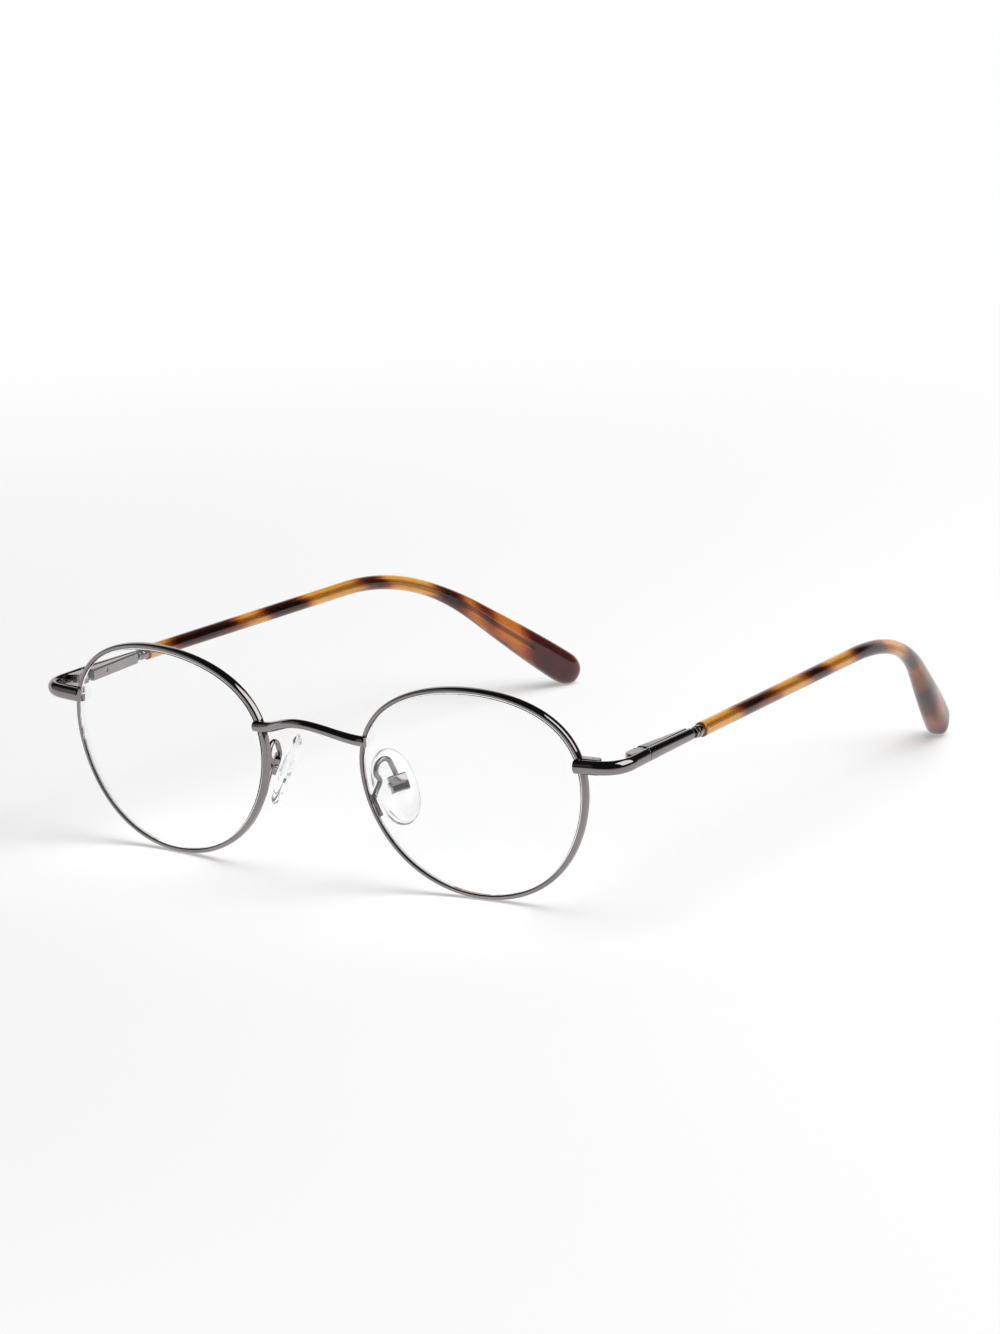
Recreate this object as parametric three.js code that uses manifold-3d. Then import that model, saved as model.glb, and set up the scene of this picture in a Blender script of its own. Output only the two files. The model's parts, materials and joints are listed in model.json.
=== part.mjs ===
// Round metal eyeglasses standing open on their rims and ear tips.
// Millimetres, +Z up, +Y from the lenses towards the ear tips, +X the wearer's left.
// Each side is drawn on +X, and the right side is its mirror image.
import * as THREE from "three";
import { mergeVertices } from "three/addons/utils/BufferGeometryUtils.js";
import Module from "manifold-3d";

const wasm = await Module();
wasm.setup();

// Lens outline, as a lens size is quoted: width, height and the gap between the two lenses
const LENS_WIDTH = 47.4;
const LENS_HEIGHT = 40.6;
const LENS_GAP = 22.2;
const LENS_THICKNESS = 1.5;
const LENS_CURVE_RADIUS = 130;
// How far the round outline leans to a panto: wider above, squarer shoulders, temple side lifted
const TOP_FULLNESS = 0.125;
const SHOULDER_FULLNESS = 0.11;
const TEMPLE_LIFT = 0.029;

// Rim wire, with a groove for the lens bevel
const RIM_WALL = 0.5;
const RIM_DEPTH = 1.6;
const RIM_ROUND = 0.35;
const RIM_SPLIT = 0.3;
const BEVEL_DEPTH = 0.5;
const BEVEL_CLEARANCE = 0.14;
const GROOVE_WIDTH = 0.84;

// How the front stands, in degrees
const FRONT_LEAN = 5.9;
const FACE_WRAP = 5.1;

// Gap left for solder between fixed metal pieces, and the running gap between moving ones
const SOLDER_GAP = 0.08;
const RUNNING_GAP = 0.1;
// How far a cutting tool reaches past what it cuts
const CUT_MARGIN = 1;

// Bridge, fixed to the rims' fronts at an angle round the lens from the temple side
const BRIDGE_ANGLE = 156;
const BRIDGE_END_RADIUS = 1.04;
const BRIDGE_MIDDLE_RADIUS = 0.88;
const BRIDGE_NOTCH = 0.95;
const BRIDGE_OVERLAP = 1;
const BRIDGE_ARCH = 2.6;
const BRIDGE_BOW = 3.2;
const BRIDGE_END_ROUND = 0.2;

// End piece: the bar that turns from the rim's front to the hinge
const LUG_ANGLE = 21;
const LUG_OVERLAP = 0.9;
const LUG_NOTCH = 0.25;
const LUG_BEND = 5.5;
const BAR_HEIGHT = 2.7;
const BAR_THICKNESS = 1.7;
const BAR_ROUND = 0.2;
const BAR_EDGE = 0.6;

// Rim lock: two halves that the rim screw draws together
const BLOCK_LENGTH = 3.9;
const BLOCK_DEPTH = 2;
const BLOCK_HEIGHT = 3;
const BLOCK_START = 0.6;

// Screws
const RIM_SCREW_RADIUS = 0.45;
const RIM_SCREW_HEAD = 0.7;
const HINGE_SCREW_RADIUS = 0.5;
const HINGE_SCREW_HEAD = 0.7;
const PAD_SCREW_RADIUS = 0.25;
const PAD_SCREW_HEAD = 0.45;
const SCREW_HEAD_HEIGHT = 0.35;
const SCREW_SLOT = 0.2;
const SCREW_END = 0.2;

// Hinge axis, measured from the lens edge at the end piece
const HINGE_OUT = 6.1;
const HINGE_BACK = 9.75;
const HINGE_RISE = 0.62;
const KNUCKLE_RADIUS = 1;
const HINGE_HEIGHT = 2.3;
const TONGUE_HEIGHT = 0.8;
const PLATE_LENGTH = 4.3;
const BUTT_GAP = 0.12;

// Spring box on the temple, and the sprung tongue that slides in it
const BOX_FRONT_GAP = 0.7;
const BOX_HEIGHT = 2.3;
const BOX_ROUND = 0.4;
const BOX_SKIN = 0.3;
const BOX_TAIL_LENGTH = 6.6;
const BOX_TAIL_DEPTH = 0.52;
const STEM_HEIGHT = 1.16;
const STEM_INSET = 0.88;
const SLOT_HEIGHT = 0.68;
const STEM_END_WALL = 0.4;
const STEM_WEB = 0.3;
const PIN_REACH = 6;
const PIN_RADIUS = 0.28;
const PIN_RECESS = 0.25;
const SPRING_LENGTH = 2.4;
const SPRING_RADIUS = 0.2;
const SPRING_WIRE = 0.14;
const SPRING_TURNS = 5;
const SLIDE_ROOM = 0.3;

// Temple: metal bar, neck and core wire, with an acetate sleeve that ends in a paddle
const TEMPLE_INWARD = 4.1;
const BAR_PAST_BOX = 0.4;
const BAR_END_HEIGHT = 2.3;
const NECK_LENGTH = 3.4;
const NECK_RADIUS = 0.65;
const CORE_RADIUS = 0.42;
const CORE_SHORT_OF_TIP = 14;
const COLLAR_RADIUS = 1.15;
const COLLAR_LENGTH = 2.4;
const COLLAR_GAP = 0.3;
const SLEEVE_DIAMETER = 2.9;
const LENGTH_TO_BEND = 100.2;
const TEMPLE_RISE = 0.72;
const BEND_REACH = 20;
const TIP_LENGTH = 50.4;
const TIP_INWARD = 17;
const TIP_WIDTH = 6.6;
const TIP_THICKNESS = 4.8;
const TIP_GROWTH = 42;
const TIP_END_ROUND = 4.5;
// Exponents of sections: that of a plain ellipse, and the blunter one of the paddle
const ELLIPSE_BLUNTNESS = 2;
const TIP_BLUNTNESS = 2.7;

// Nose pad, its arm and its box; the pad stands off the lens edge at an angle round the lens
const PAD_ANGLE = 188;
const PAD_OUT = 0.9;
const PAD_BACK = 7.9;
const PAD_UP = 0.1;
const PAD_SPLAY = 35;
const PAD_FLARE = 21.6;
const PAD_LEAN = 9.9;
const PAD_LENGTH = 14.8;
const PAD_WIDTH = 8.6;
const PAD_THICKNESS = 2.4;
// How bluntly the pad narrows and thins towards its ends: 2 is an ellipse, more is blunter
const PAD_NARROWING = 2.3;
const PAD_THINNING = 4;
const PAD_MOUNT_UP = 0.5;
const PAD_SWING_GAP = 0.45;
const INSERT_LENGTH = 4.4;
const INSERT_WIDTH = 3.4;
const INSERT_THICKNESS = 0.6;
const TAB_WIDTH = 2.4;
const TAB_HEIGHT = 1.8;
const TAB_REACH = 0.5;
const PAD_BOX_WALL = 0.4;
const PAD_BOX_SKIRT = 0.6;
const PAD_BOX_ROOM = 0.25;
const PAD_PIVOT_DEPTH = 0.42;
const ARM_RADIUS = 0.5;
const ARM_FOOT_ANGLES = [201, 196, 191];
const ARM_FOOT_GAP = 0.17;
// The arm's loop, measured from its landing on the box: towards the rim, to the nose, upwards and round
const ARM_NECK_REACH = 3.8;
const ARM_NECK_DROP = 0.5;
const ARM_LOOP_REACH = 2.7;
const ARM_LOOP_ASIDE = 0.3;
const ARM_LOOP_RISE = 1.35;
const ARM_LOOP_RADIUS = 2.1;
const ARM_LOOP_FROM = -10;
const ARM_LOOP_TO = 170;
const ARM_LANDING = 0.5;

// Mesh fineness
const RIM_STEPS = 56;
const ROUND_STEPS = 14;
const SECTION_STEPS = 12;
const BEND_STEPS = 10;
const BRIDGE_STEPS = 24;
const PAD_STEPS = 14;
const ARM_STEPS = 36;
const ARM_SIDES = 8;
const SPRING_STEPS = 8;
const SPRING_SIDES = 5;
const SWELL_STEPS = 7;
const END_STEPS = 5;
const CORNER_STEPS = 3;
const LOOP_STEPS = 4;
// Share of a rounded end at which its last ring lies
const LAST_RING_SHARE = 0.98;
const OUTLINE_SAMPLES = 720;
const SOLVE_PASSES = 8;
const WELD = 1e-4;

const radians = THREE.MathUtils.degToRad;
const UP = new THREE.Vector3(0, 0, 1);

const gunmetal = { color: 0x6e6a6a, roughness: 0.22, metalness: 1 };
const steel = { color: 0x9b9a9a, roughness: 0.3, metalness: 1 };
const clearLens = { color: 0xf2f7f7, roughness: 0.03, metalness: 0, transparent: true, opacity: 0.15 };
const silicone = { color: 0xe6eaea, roughness: 0.35, metalness: 0, transparent: true, opacity: 0.5 };
const tortoiseshell = { color: 0xb06a28, roughness: 0.2, metalness: 0 };

function part(name, geometry, finish) {
  const mesh = new THREE.Mesh(geometry, new THREE.MeshStandardMaterial(finish));
  mesh.name = name;
  return mesh;
}

// Closed solids

function signedVolume(points, index) {
  let total = 0;
  for (let i = 0; i < index.length; i += 3) {
    const [a, b, c] = [points[index[i]], points[index[i + 1]], points[index[i + 2]]];
    total += a.dot(b.clone().cross(c));
  }
  return total / 6;
}

function fanFaces(count) {
  return Array.from({ length: count - 2 }, (_, k) => [0, k + 1, k + 2]);
}

// A closed skin over rings that all have the same number of points, with both ends capped
function loft(rings, capFaces = fanFaces(rings[0].length)) {
  const count = rings[0].length;
  const last = (rings.length - 1) * count;
  const points = rings.flat();
  const index = [];
  for (let start = 0; start < last; start += count) {
    for (let k = 0; k < count; k++) {
      const a = start + k;
      const b = start + ((k + 1) % count);
      index.push(a, b, b + count, a, b + count, a + count);
    }
  }
  for (const [i, j, k] of capFaces) index.push(k, j, i, last + i, last + j, last + k);
  if (signedVolume(points, index) < 0) index.reverse();
  const geometry = new THREE.BufferGeometry().setFromPoints(points);
  geometry.setIndex(index);
  return geometry;
}

function solidOf(geometry) {
  const bare = geometry.clone();
  bare.deleteAttribute("normal");
  bare.deleteAttribute("uv");
  const merged = mergeVertices(bare, WELD);
  const vertProperties = new Float32Array(merged.attributes.position.array);
  const triVerts = new Uint32Array(merged.index.array);
  return new wasm.Manifold(new wasm.Mesh({ numProp: 3, vertProperties, triVerts }));
}

function geometryOf(solid) {
  const mesh = solid.getMesh();
  const geometry = new THREE.BufferGeometry();
  geometry.setAttribute("position", new THREE.BufferAttribute(mesh.vertProperties, 3));
  geometry.setIndex(new THREE.BufferAttribute(mesh.triVerts, 1));
  return geometry;
}

function join(...geometries) {
  return geometryOf(geometries.map(solidOf).reduce((whole, next) => whole.add(next)));
}

function cut(geometry, ...tools) {
  return geometryOf(tools.map(solidOf).reduce((left, tool) => left.subtract(tool), solidOf(geometry)));
}

function box([x0, x1], [y0, y1], [z0, z1]) {
  const geometry = new THREE.BoxGeometry(x1 - x0, y1 - y0, z1 - z0);
  return geometry.translate((x0 + x1) / 2, (y0 + y1) / 2, (z0 + z1) / 2);
}

// A round rod standing on Z between two heights
function rod(radius, z0, z1) {
  const geometry = new THREE.CylinderGeometry(radius, radius, z1 - z0, ROUND_STEPS);
  return geometry.rotateX(Math.PI / 2).translate(0, 0, (z0 + z1) / 2);
}

function prism(shape, z0, z1) {
  const options = { depth: z1 - z0, bevelEnabled: false, curveSegments: ROUND_STEPS / 2 };
  return new THREE.ExtrudeGeometry(shape, options).translate(0, 0, z0);
}

// A slotted screw on Z: its head stands on z = 0 and its shank runs down from there
function screw(shankRadius, headRadius, length) {
  const body = join(rod(shankRadius, -length, SCREW_SLOT), rod(headRadius, 0, SCREW_HEAD_HEIGHT));
  const across = [-headRadius * 2, headRadius * 2];
  const slotDepth = [SCREW_HEAD_HEIGHT - SCREW_SLOT, SCREW_HEAD_HEIGHT * 2];
  return cut(body, box(across, [-SCREW_SLOT / 2, SCREW_SLOT / 2], slotDepth));
}

// Sections, as points across (x) and up (y) a bar

function ellipse(halfWidth, halfHeight, count = SECTION_STEPS, bluntness = ELLIPSE_BLUNTNESS) {
  const blunted = (value) => Math.sign(value) * Math.abs(value) ** (2 / bluntness);
  return Array.from({ length: count }, (_, k) => {
    const angle = (2 * Math.PI * k) / count;
    return new THREE.Vector2(halfWidth * blunted(Math.cos(angle)), halfHeight * blunted(Math.sin(angle)));
  });
}

// Half-round bar: flat on its inner side with eased corners, an arc on its outer side
function halfRound(thickness, height) {
  const inner = -thickness / 2;
  const middle = inner + BAR_EDGE;
  const bulge = thickness / 2 - middle;
  const arc = Array.from({ length: SECTION_STEPS - 3 }, (_, k) => {
    const angle = Math.PI * (k / (SECTION_STEPS - 4) - 0.5);
    return new THREE.Vector2(middle + bulge * Math.cos(angle), (height / 2) * Math.sin(angle));
  });
  const upper = new THREE.Vector2(inner, height / 2 - BAR_ROUND);
  const lower = new THREE.Vector2(inner, BAR_ROUND - height / 2);
  return [...arc, upper, new THREE.Vector2(inner, 0), lower];
}

// A section laid square across a direction of travel, its x to the right and its y upward
function laidAcross(centre, ahead, section) {
  const side = ahead.clone().cross(UP).normalize();
  const rise = side.clone().cross(ahead).normalize();
  return section.map((p) => centre.clone().addScaledVector(side, p.x).addScaledVector(rise, p.y));
}

function ringOn(curve, distance, section) {
  const share = THREE.MathUtils.clamp(distance / curve.getLength(), 0, 1);
  return laidAcross(curve.getPoint(share), curve.getTangent(share), section);
}

// Evenly spaced values, and values that crowd towards the far end of a rounded tip

function steps(from, to, count) {
  return Array.from({ length: count + 1 }, (_, k) => from + ((to - from) * k) / count);
}

function roundedSteps(from, to) {
  const lastAngle = Math.asin(LAST_RING_SHARE);
  return steps(0, lastAngle, END_STEPS).map((angle) => from + (to - from) * Math.sin(angle));
}

// Lens and rim, drawn about the lens centre: x to the temple, y back, z up

function rawOutline(angle) {
  const c = Math.cos(angle);
  const s = Math.sin(angle);
  const across = c * (1 + TOP_FULLNESS * s + SHOULDER_FULLNESS * s * s);
  return new THREE.Vector2(across, s * (1 + TEMPLE_LIFT * c));
}

const outlineSamples = steps(0, 2 * Math.PI, OUTLINE_SAMPLES).map(rawOutline);
const rawSize = new THREE.Box2().setFromPoints(outlineSamples).getSize(new THREE.Vector2());
const outlineScale = new THREE.Vector2(LENS_WIDTH, LENS_HEIGHT).divide(rawSize);

function outlinePoint(angle, offset) {
  const nudge = 1e-4;
  const at = rawOutline(angle).multiply(outlineScale);
  const ahead = rawOutline(angle + nudge).multiply(outlineScale).sub(at).normalize();
  return at.add(new THREE.Vector2(ahead.y, -ahead.x).multiplyScalar(offset));
}

const edgeSag = (LENS_WIDTH ** 2 + LENS_HEIGHT ** 2) / (16 * LENS_CURVE_RADIUS);

function eyePoint(angle, offset, depth, scale = 1) {
  const edge = outlinePoint(angle, offset).multiplyScalar(scale);
  const sag = edge.lengthSq() / (2 * LENS_CURVE_RADIUS) - edgeSag;
  return new THREE.Vector3(edge.x, sag + depth, edge.y);
}

function eyeRing(offset, depth, scale = 1) {
  return steps(0, 2 * Math.PI, RIM_STEPS)
    .slice(0, RIM_STEPS)
    .map((angle) => eyePoint(angle, offset, depth, scale));
}

const DOME_SCALES = [0.35, 0.7];
const lensLand = -(BEVEL_DEPTH + BEVEL_CLEARANCE);

function domedRings(offset, depth) {
  return DOME_SCALES.map((scale) => eyeRing(offset, depth, scale));
}

function lensGeometry() {
  const face = LENS_THICKNESS / 2;
  const bevel = [
    [lensLand, -face],
    [lensLand, -GROOVE_WIDTH / 2],
    [0, 0],
    [lensLand, GROOVE_WIDTH / 2],
    [lensLand, face],
  ];
  const edge = bevel.map(([offset, depth]) => eyeRing(offset, depth));
  return loft([...domedRings(lensLand, -face), ...edge, ...domedRings(lensLand, face).reverse()]);
}

// The room that a lens in its rim takes up, which the pieces soldered to the rim are notched for
function eyeBlank() {
  const wall = RIM_WALL + SOLDER_GAP;
  const face = Math.max(RIM_DEPTH, LENS_THICKNESS) / 2 + SOLDER_GAP;
  const edge = [eyeRing(wall, -face), eyeRing(wall, face)];
  return loft([...domedRings(wall, -face), ...edge, ...domedRings(wall, face).reverse()]);
}

function rimSection() {
  const half = RIM_DEPTH / 2;
  const eased = RIM_ROUND / 2;
  const corner = RIM_ROUND * (1 - Math.SQRT1_2);
  const backHalf = [
    [-BEVEL_DEPTH, GROOVE_WIDTH / 2],
    [-BEVEL_DEPTH, half - eased],
    [eased - BEVEL_DEPTH, half],
    [RIM_WALL - RIM_ROUND, half],
    [RIM_WALL - corner, half - corner],
    [RIM_WALL, half - RIM_ROUND],
  ];
  const frontHalf = backHalf.map(([offset, depth]) => [offset, -depth]).reverse();
  return [[BEVEL_CLEARANCE, 0], ...backHalf, ...frontHalf].map(([x, y]) => new THREE.Vector2(x, y));
}

function sectionFaces(section) {
  return THREE.ShapeUtils.triangulateShape(section, []).map((face) => {
    const area = THREE.ShapeUtils.area(face.map((i) => section[i]));
    return area * THREE.ShapeUtils.area(section) > 0 ? face : face.reverse();
  });
}

// The rim is one wire, parted at the end piece so that the rim screw can close it on the lens
function rimRings() {
  const section = rimSection();
  const halfSplit = RIM_SPLIT / LENS_HEIGHT;
  const from = radians(LUG_ANGLE) + halfSplit;
  const to = radians(LUG_ANGLE) + 2 * Math.PI - halfSplit;
  return steps(from, to, RIM_STEPS).map((angle) => section.map((p) => eyePoint(angle, p.x, p.y)));
}

const leaned = new THREE.Matrix4()
  .makeRotationX(radians(FRONT_LEAN))
  .multiply(new THREE.Matrix4().makeTranslation((LENS_GAP + LENS_WIDTH) / 2, 0, 0))
  .multiply(new THREE.Matrix4().makeRotationZ(radians(FACE_WRAP)));
const rimBottom = Math.min(...rimRings().flat().map((p) => p.applyMatrix4(leaned).z));
const eyePlace = new THREE.Matrix4().makeTranslation(0, 0, -rimBottom).multiply(leaned);

function placedEyePoint(degrees, offset, depth) {
  return eyePoint(radians(degrees), offset, depth).applyMatrix4(eyePlace);
}

const placedBlank = eyeBlank().applyMatrix4(eyePlace);

// Bridge

// The bridge's centre line and radius at a share of its half width, from -1 to 1
function bridgeStation(share) {
  const seat = placedEyePoint(BRIDGE_ANGLE, 0, 0);
  const x = share * (seat.x + BRIDGE_OVERLAP);
  const hump = Math.cos((Math.PI / 2) * Math.min(1, Math.abs(x) / seat.x)) ** 2;
  const forward = RIM_DEPTH / 2 + BRIDGE_END_RADIUS - BRIDGE_NOTCH + BRIDGE_BOW * hump;
  const place = new THREE.Vector3(x, seat.y - forward, seat.z + BRIDGE_ARCH * hump);
  const radius = THREE.MathUtils.lerp(BRIDGE_END_RADIUS, BRIDGE_MIDDLE_RADIUS, Math.sqrt(hump));
  return { place, radius: Math.abs(share) === 1 ? radius - BRIDGE_END_ROUND : radius };
}

function bridgeGeometry() {
  const stations = steps(-1, 1, BRIDGE_STEPS).map(bridgeStation);
  const curve = new THREE.CatmullRomCurve3(stations.map(({ place }) => place));
  const rings = stations.map(({ place, radius }, i) => {
    const ahead = curve.getTangent(i / BRIDGE_STEPS);
    return laidAcross(place, ahead, ellipse(radius, radius));
  });
  const otherBlank = placedBlank.clone().scale(-1, 1, 1);
  otherBlank.setIndex([...otherBlank.index.array].reverse());
  return cut(loft(rings), placedBlank, otherBlank);
}

// End piece and rim lock, placed from the lens edge at the end piece

const lugSeat = placedEyePoint(LUG_ANGLE, 0, 0);
const outward = new THREE.Vector3(Math.cos(radians(FACE_WRAP)), Math.sin(radians(FACE_WRAP)), 0);
const backward = new THREE.Vector3(-outward.y, outward.x, 0);
const lugForward = RIM_DEPTH / 2 + BAR_THICKNESS / 2 - LUG_NOTCH;

const hingePlace = lugSeat.clone().add(new THREE.Vector3(HINGE_OUT, HINGE_BACK, HINGE_RISE));
const hingeTurn = new THREE.Euler(radians(TEMPLE_RISE), 0, radians(TEMPLE_INWARD), "ZXY");
const templeAhead = new THREE.Vector3(0, 1, 0).applyEuler(hingeTurn);
const templeOut = new THREE.Vector3(1, 0, 0).applyEuler(hingeTurn);
const barInner = KNUCKLE_RADIUS + RUNNING_GAP;
const barCentre = barInner + BAR_THICKNESS / 2;

// Where the front run and the side run of the end piece would meet in a sharp corner
function lugCorner(start, end) {
  const toEnd = end.clone().sub(start);
  const crossed = (a, b) => a.x * b.y - a.y * b.x;
  const reach = crossed(toEnd, templeAhead) / crossed(outward, templeAhead);
  return start.clone().addScaledVector(outward, reach).setZ((start.z + end.z) / 2);
}

function lugCurve() {
  const start = lugSeat.clone().addScaledVector(outward, -LUG_OVERLAP);
  start.addScaledVector(backward, -lugForward);
  const end = hingePlace.clone().addScaledVector(templeOut, barCentre);
  end.addScaledVector(templeAhead, -BUTT_GAP / 2);
  const corner = lugCorner(start, end);
  const bendStart = corner.clone().lerp(start, LUG_BEND / corner.distanceTo(start));
  const bendEnd = corner.clone().lerp(end, LUG_BEND / corner.distanceTo(end));
  const curve = new THREE.CurvePath();
  curve.add(new THREE.LineCurve3(start, bendStart));
  curve.add(new THREE.QuadraticBezierCurve3(bendStart, corner, bendEnd));
  curve.add(new THREE.LineCurve3(bendEnd, end));
  return curve;
}

function endPieceGeometry() {
  const curve = lugCurve();
  const [bendFrom, bendTo, whole] = curve.getCurveLengths();
  const stations = [BAR_ROUND, ...steps(bendFrom, bendTo, BEND_STEPS), whole];
  const bar = halfRound(BAR_THICKNESS, BAR_HEIGHT);
  const rings = stations.map((distance) => ringOn(curve, distance, bar));
  const nose = halfRound(BAR_THICKNESS - 2 * BAR_ROUND, BAR_HEIGHT - 2 * BAR_ROUND);
  return cut(loft([ringOn(curve, 0, nose), ...rings]), placedBlank);
}

const blockFront = BAR_THICKNESS / 2 - lugForward + SOLDER_GAP;
const blockMiddle = blockFront + BLOCK_DEPTH / 2;
const rimScrewReach = BLOCK_LENGTH - BLOCK_DEPTH / 2;
// The rim screw's head lies sunk in the lock, level with its top
const rimHeadBase = BLOCK_HEIGHT / 2 - SCREW_HEAD_HEIGHT;

function lockShape() {
  const shape = new THREE.Shape();
  shape.moveTo(-BLOCK_START, blockFront);
  shape.lineTo(rimScrewReach, blockFront);
  shape.absarc(rimScrewReach, blockMiddle, BLOCK_DEPTH / 2, -Math.PI / 2, Math.PI / 2);
  shape.lineTo(-BLOCK_START, blockFront + BLOCK_DEPTH);
  return shape;
}

function onRimScrew(radius, z0, z1) {
  return rod(radius, z0, z1).translate(rimScrewReach, blockMiddle, 0);
}

// One half of the rim lock, drawn about the lens edge; the blank is brought into the same place
function lockHalf(z0, z1) {
  const hole = onRimScrew(RIM_SCREW_RADIUS + RUNNING_GAP, z0 - CUT_MARGIN, z1 + CUT_MARGIN);
  const headSeat = onRimScrew(RIM_SCREW_HEAD + SOLDER_GAP, rimHeadBase - SOLDER_GAP, BLOCK_HEIGHT);
  const toLug = new THREE.Matrix4()
    .makeRotationZ(-radians(FACE_WRAP))
    .multiply(new THREE.Matrix4().makeTranslation(lugSeat.clone().negate()));
  return cut(prism(lockShape(), z0, z1), hole, headSeat, placedBlank.clone().applyMatrix4(toLug));
}

function rimLockGroup(side) {
  const group = new THREE.Group();
  group.position.copy(lugSeat);
  group.rotation.z = radians(FACE_WRAP);
  const top = BLOCK_HEIGHT / 2;
  group.add(part(`rim_lock_upper_${side}`, lockHalf(RIM_SPLIT / 2, top), gunmetal));
  group.add(part(`rim_lock_lower_${side}`, lockHalf(-top, -RIM_SPLIT / 2), gunmetal));
  const screwLength = rimHeadBase + top + SCREW_END;
  const rimScrew = part(`rim_screw_${side}`, screw(RIM_SCREW_RADIUS, RIM_SCREW_HEAD, screwLength), steel);
  rimScrew.position.set(rimScrewReach, blockMiddle, rimHeadBase);
  group.add(rimScrew);
  return group;
}

// Hinge and temple, drawn about the hinge axis: x outward, y along the temple, z up

const slotRoom = TONGUE_HEIGHT / 2 + RUNNING_GAP / 2;
// The hinge screw's head lies sunk in the upper knuckle, level with its top
const hingeHeadBase = HINGE_HEIGHT / 2 - SCREW_HEAD_HEIGHT;
const boxOuter = barInner - SOLDER_GAP;
const boxStart = KNUCKLE_RADIUS + BOX_FRONT_GAP;
const stemIn = barInner - STEM_INSET - RUNNING_GAP;
const stemOut = barInner - RUNNING_GAP;
const slotStart = PIN_REACH - PIN_RADIUS - RUNNING_GAP;
const springStart = PIN_REACH + PIN_RADIUS + RUNNING_GAP;
const slotEnd = springStart + SPRING_LENGTH + RUNNING_GAP;
const stemEnd = slotEnd + STEM_END_WALL;
const cavityIn = stemIn - RUNNING_GAP;
const cavityEnd = stemEnd + SLIDE_ROOM;
const boxEnd = cavityEnd + BOX_TAIL_LENGTH;
const barEnd = boxEnd + BAR_PAST_BOX;
const sleeveStart = barEnd + NECK_LENGTH;

function hingeHole() {
  return rod(HINGE_SCREW_RADIUS + RUNNING_GAP, -HINGE_HEIGHT, HINGE_HEIGHT);
}

function hingeFrontGeometry() {
  const plate = new THREE.Shape();
  plate.moveTo(boxOuter, 0);
  plate.lineTo(boxOuter, -PLATE_LENGTH);
  plate.lineTo(boxOuter - KNUCKLE_RADIUS, -PLATE_LENGTH);
  plate.lineTo(-KNUCKLE_RADIUS, -PLATE_LENGTH + KNUCKLE_RADIUS);
  plate.lineTo(-KNUCKLE_RADIUS, 0);
  const half = HINGE_HEIGHT / 2;
  const body = join(rod(KNUCKLE_RADIUS, -half, half), prism(plate, -half, half));
  const tongueRoom = rod(KNUCKLE_RADIUS + RUNNING_GAP, -slotRoom, slotRoom);
  const headSeat = rod(HINGE_SCREW_HEAD + SOLDER_GAP, hingeHeadBase - SOLDER_GAP, HINGE_HEIGHT);
  return cut(body, tongueRoom, headSeat, hingeHole());
}

function tongueGeometry() {
  const thin = [-TONGUE_HEIGHT / 2, TONGUE_HEIGHT / 2];
  const tall = [-STEM_HEIGHT / 2, STEM_HEIGHT / 2];
  const stemStart = KNUCKLE_RADIUS + STEM_WEB;
  const knuckle = rod(KNUCKLE_RADIUS, ...thin);
  const web = box([stemIn, stemOut], [0, stemStart + STEM_WEB], thin);
  const stem = box([stemIn, stemOut], [stemStart, stemEnd], tall);
  const through = [stemIn - CUT_MARGIN, stemOut + CUT_MARGIN];
  const slot = box(through, [slotStart, slotEnd], [-SLOT_HEIGHT / 2, SLOT_HEIGHT / 2]);
  return cut(join(knuckle, web, stem), slot, hingeHole());
}

// Inner face of the spring box, which slopes towards the bar from its front to its tail
function boxInner(y) {
  return THREE.MathUtils.mapLinear(y, cavityEnd, boxEnd, cavityIn - BOX_SKIN, boxOuter - BOX_TAIL_DEPTH);
}

// Section of the spring box at a distance along it, with its two inner edges rounded
function boxRing(y) {
  const half = BOX_HEIGHT / 2;
  const corner = steps(0, Math.PI / 2, CORNER_STEPS).map((angle) => [
    boxInner(y) + BOX_ROUND * (1 - Math.sin(angle)),
    half - BOX_ROUND * (1 - Math.cos(angle)),
  ]);
  const upper = [[boxOuter, half], ...corner];
  const lower = upper.map(([x, z]) => [x, -z]).reverse();
  return [...upper, ...lower].map(([x, z]) => new THREE.Vector3(x, y, z));
}

function springBoxGeometry() {
  const half = STEM_HEIGHT / 2 + RUNNING_GAP;
  const cavity = box([cavityIn, boxOuter + CUT_MARGIN], [boxStart - CUT_MARGIN, cavityEnd], [-half, half]);
  const pinHole = crossPin(PIN_RADIUS + SOLDER_GAP, boxInner(boxStart), boxOuter);
  return cut(loft([boxRing(boxStart), boxRing(boxEnd)]), cavity, pinHole);
}

function crossPin(radius, from, to) {
  return rod(radius, from, to).rotateY(Math.PI / 2).translate(0, PIN_REACH, 0);
}

function stopPinGeometry() {
  return crossPin(PIN_RADIUS, boxInner(PIN_REACH) + PIN_RECESS, boxOuter);
}

class Helix extends THREE.Curve {
  getPoint(t, target = new THREE.Vector3()) {
    const angle = 2 * Math.PI * SPRING_TURNS * t;
    const reach = SPRING_WIRE / 2 + (SPRING_LENGTH - SPRING_WIRE) * t;
    return target.set(SPRING_RADIUS * Math.cos(angle), reach, SPRING_RADIUS * Math.sin(angle));
  }
}

function springGeometry() {
  const wire = new THREE.Shape(ellipse(SPRING_WIRE / 2, SPRING_WIRE / 2, SPRING_SIDES));
  const options = { steps: SPRING_TURNS * SPRING_STEPS, extrudePath: new Helix() };
  return new THREE.ExtrudeGeometry(wire, options).translate((stemIn + stemOut) / 2, springStart, 0);
}

// Height of the tip's end that lets its rounded paddle touch the ground, for a tip dropping at an angle
function tipEndHeight(drop) {
  const reach = TIP_END_ROUND * Math.sin(drop);
  return Math.hypot(reach, (TIP_WIDTH / 2) * Math.cos(drop)) - reach;
}

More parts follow.
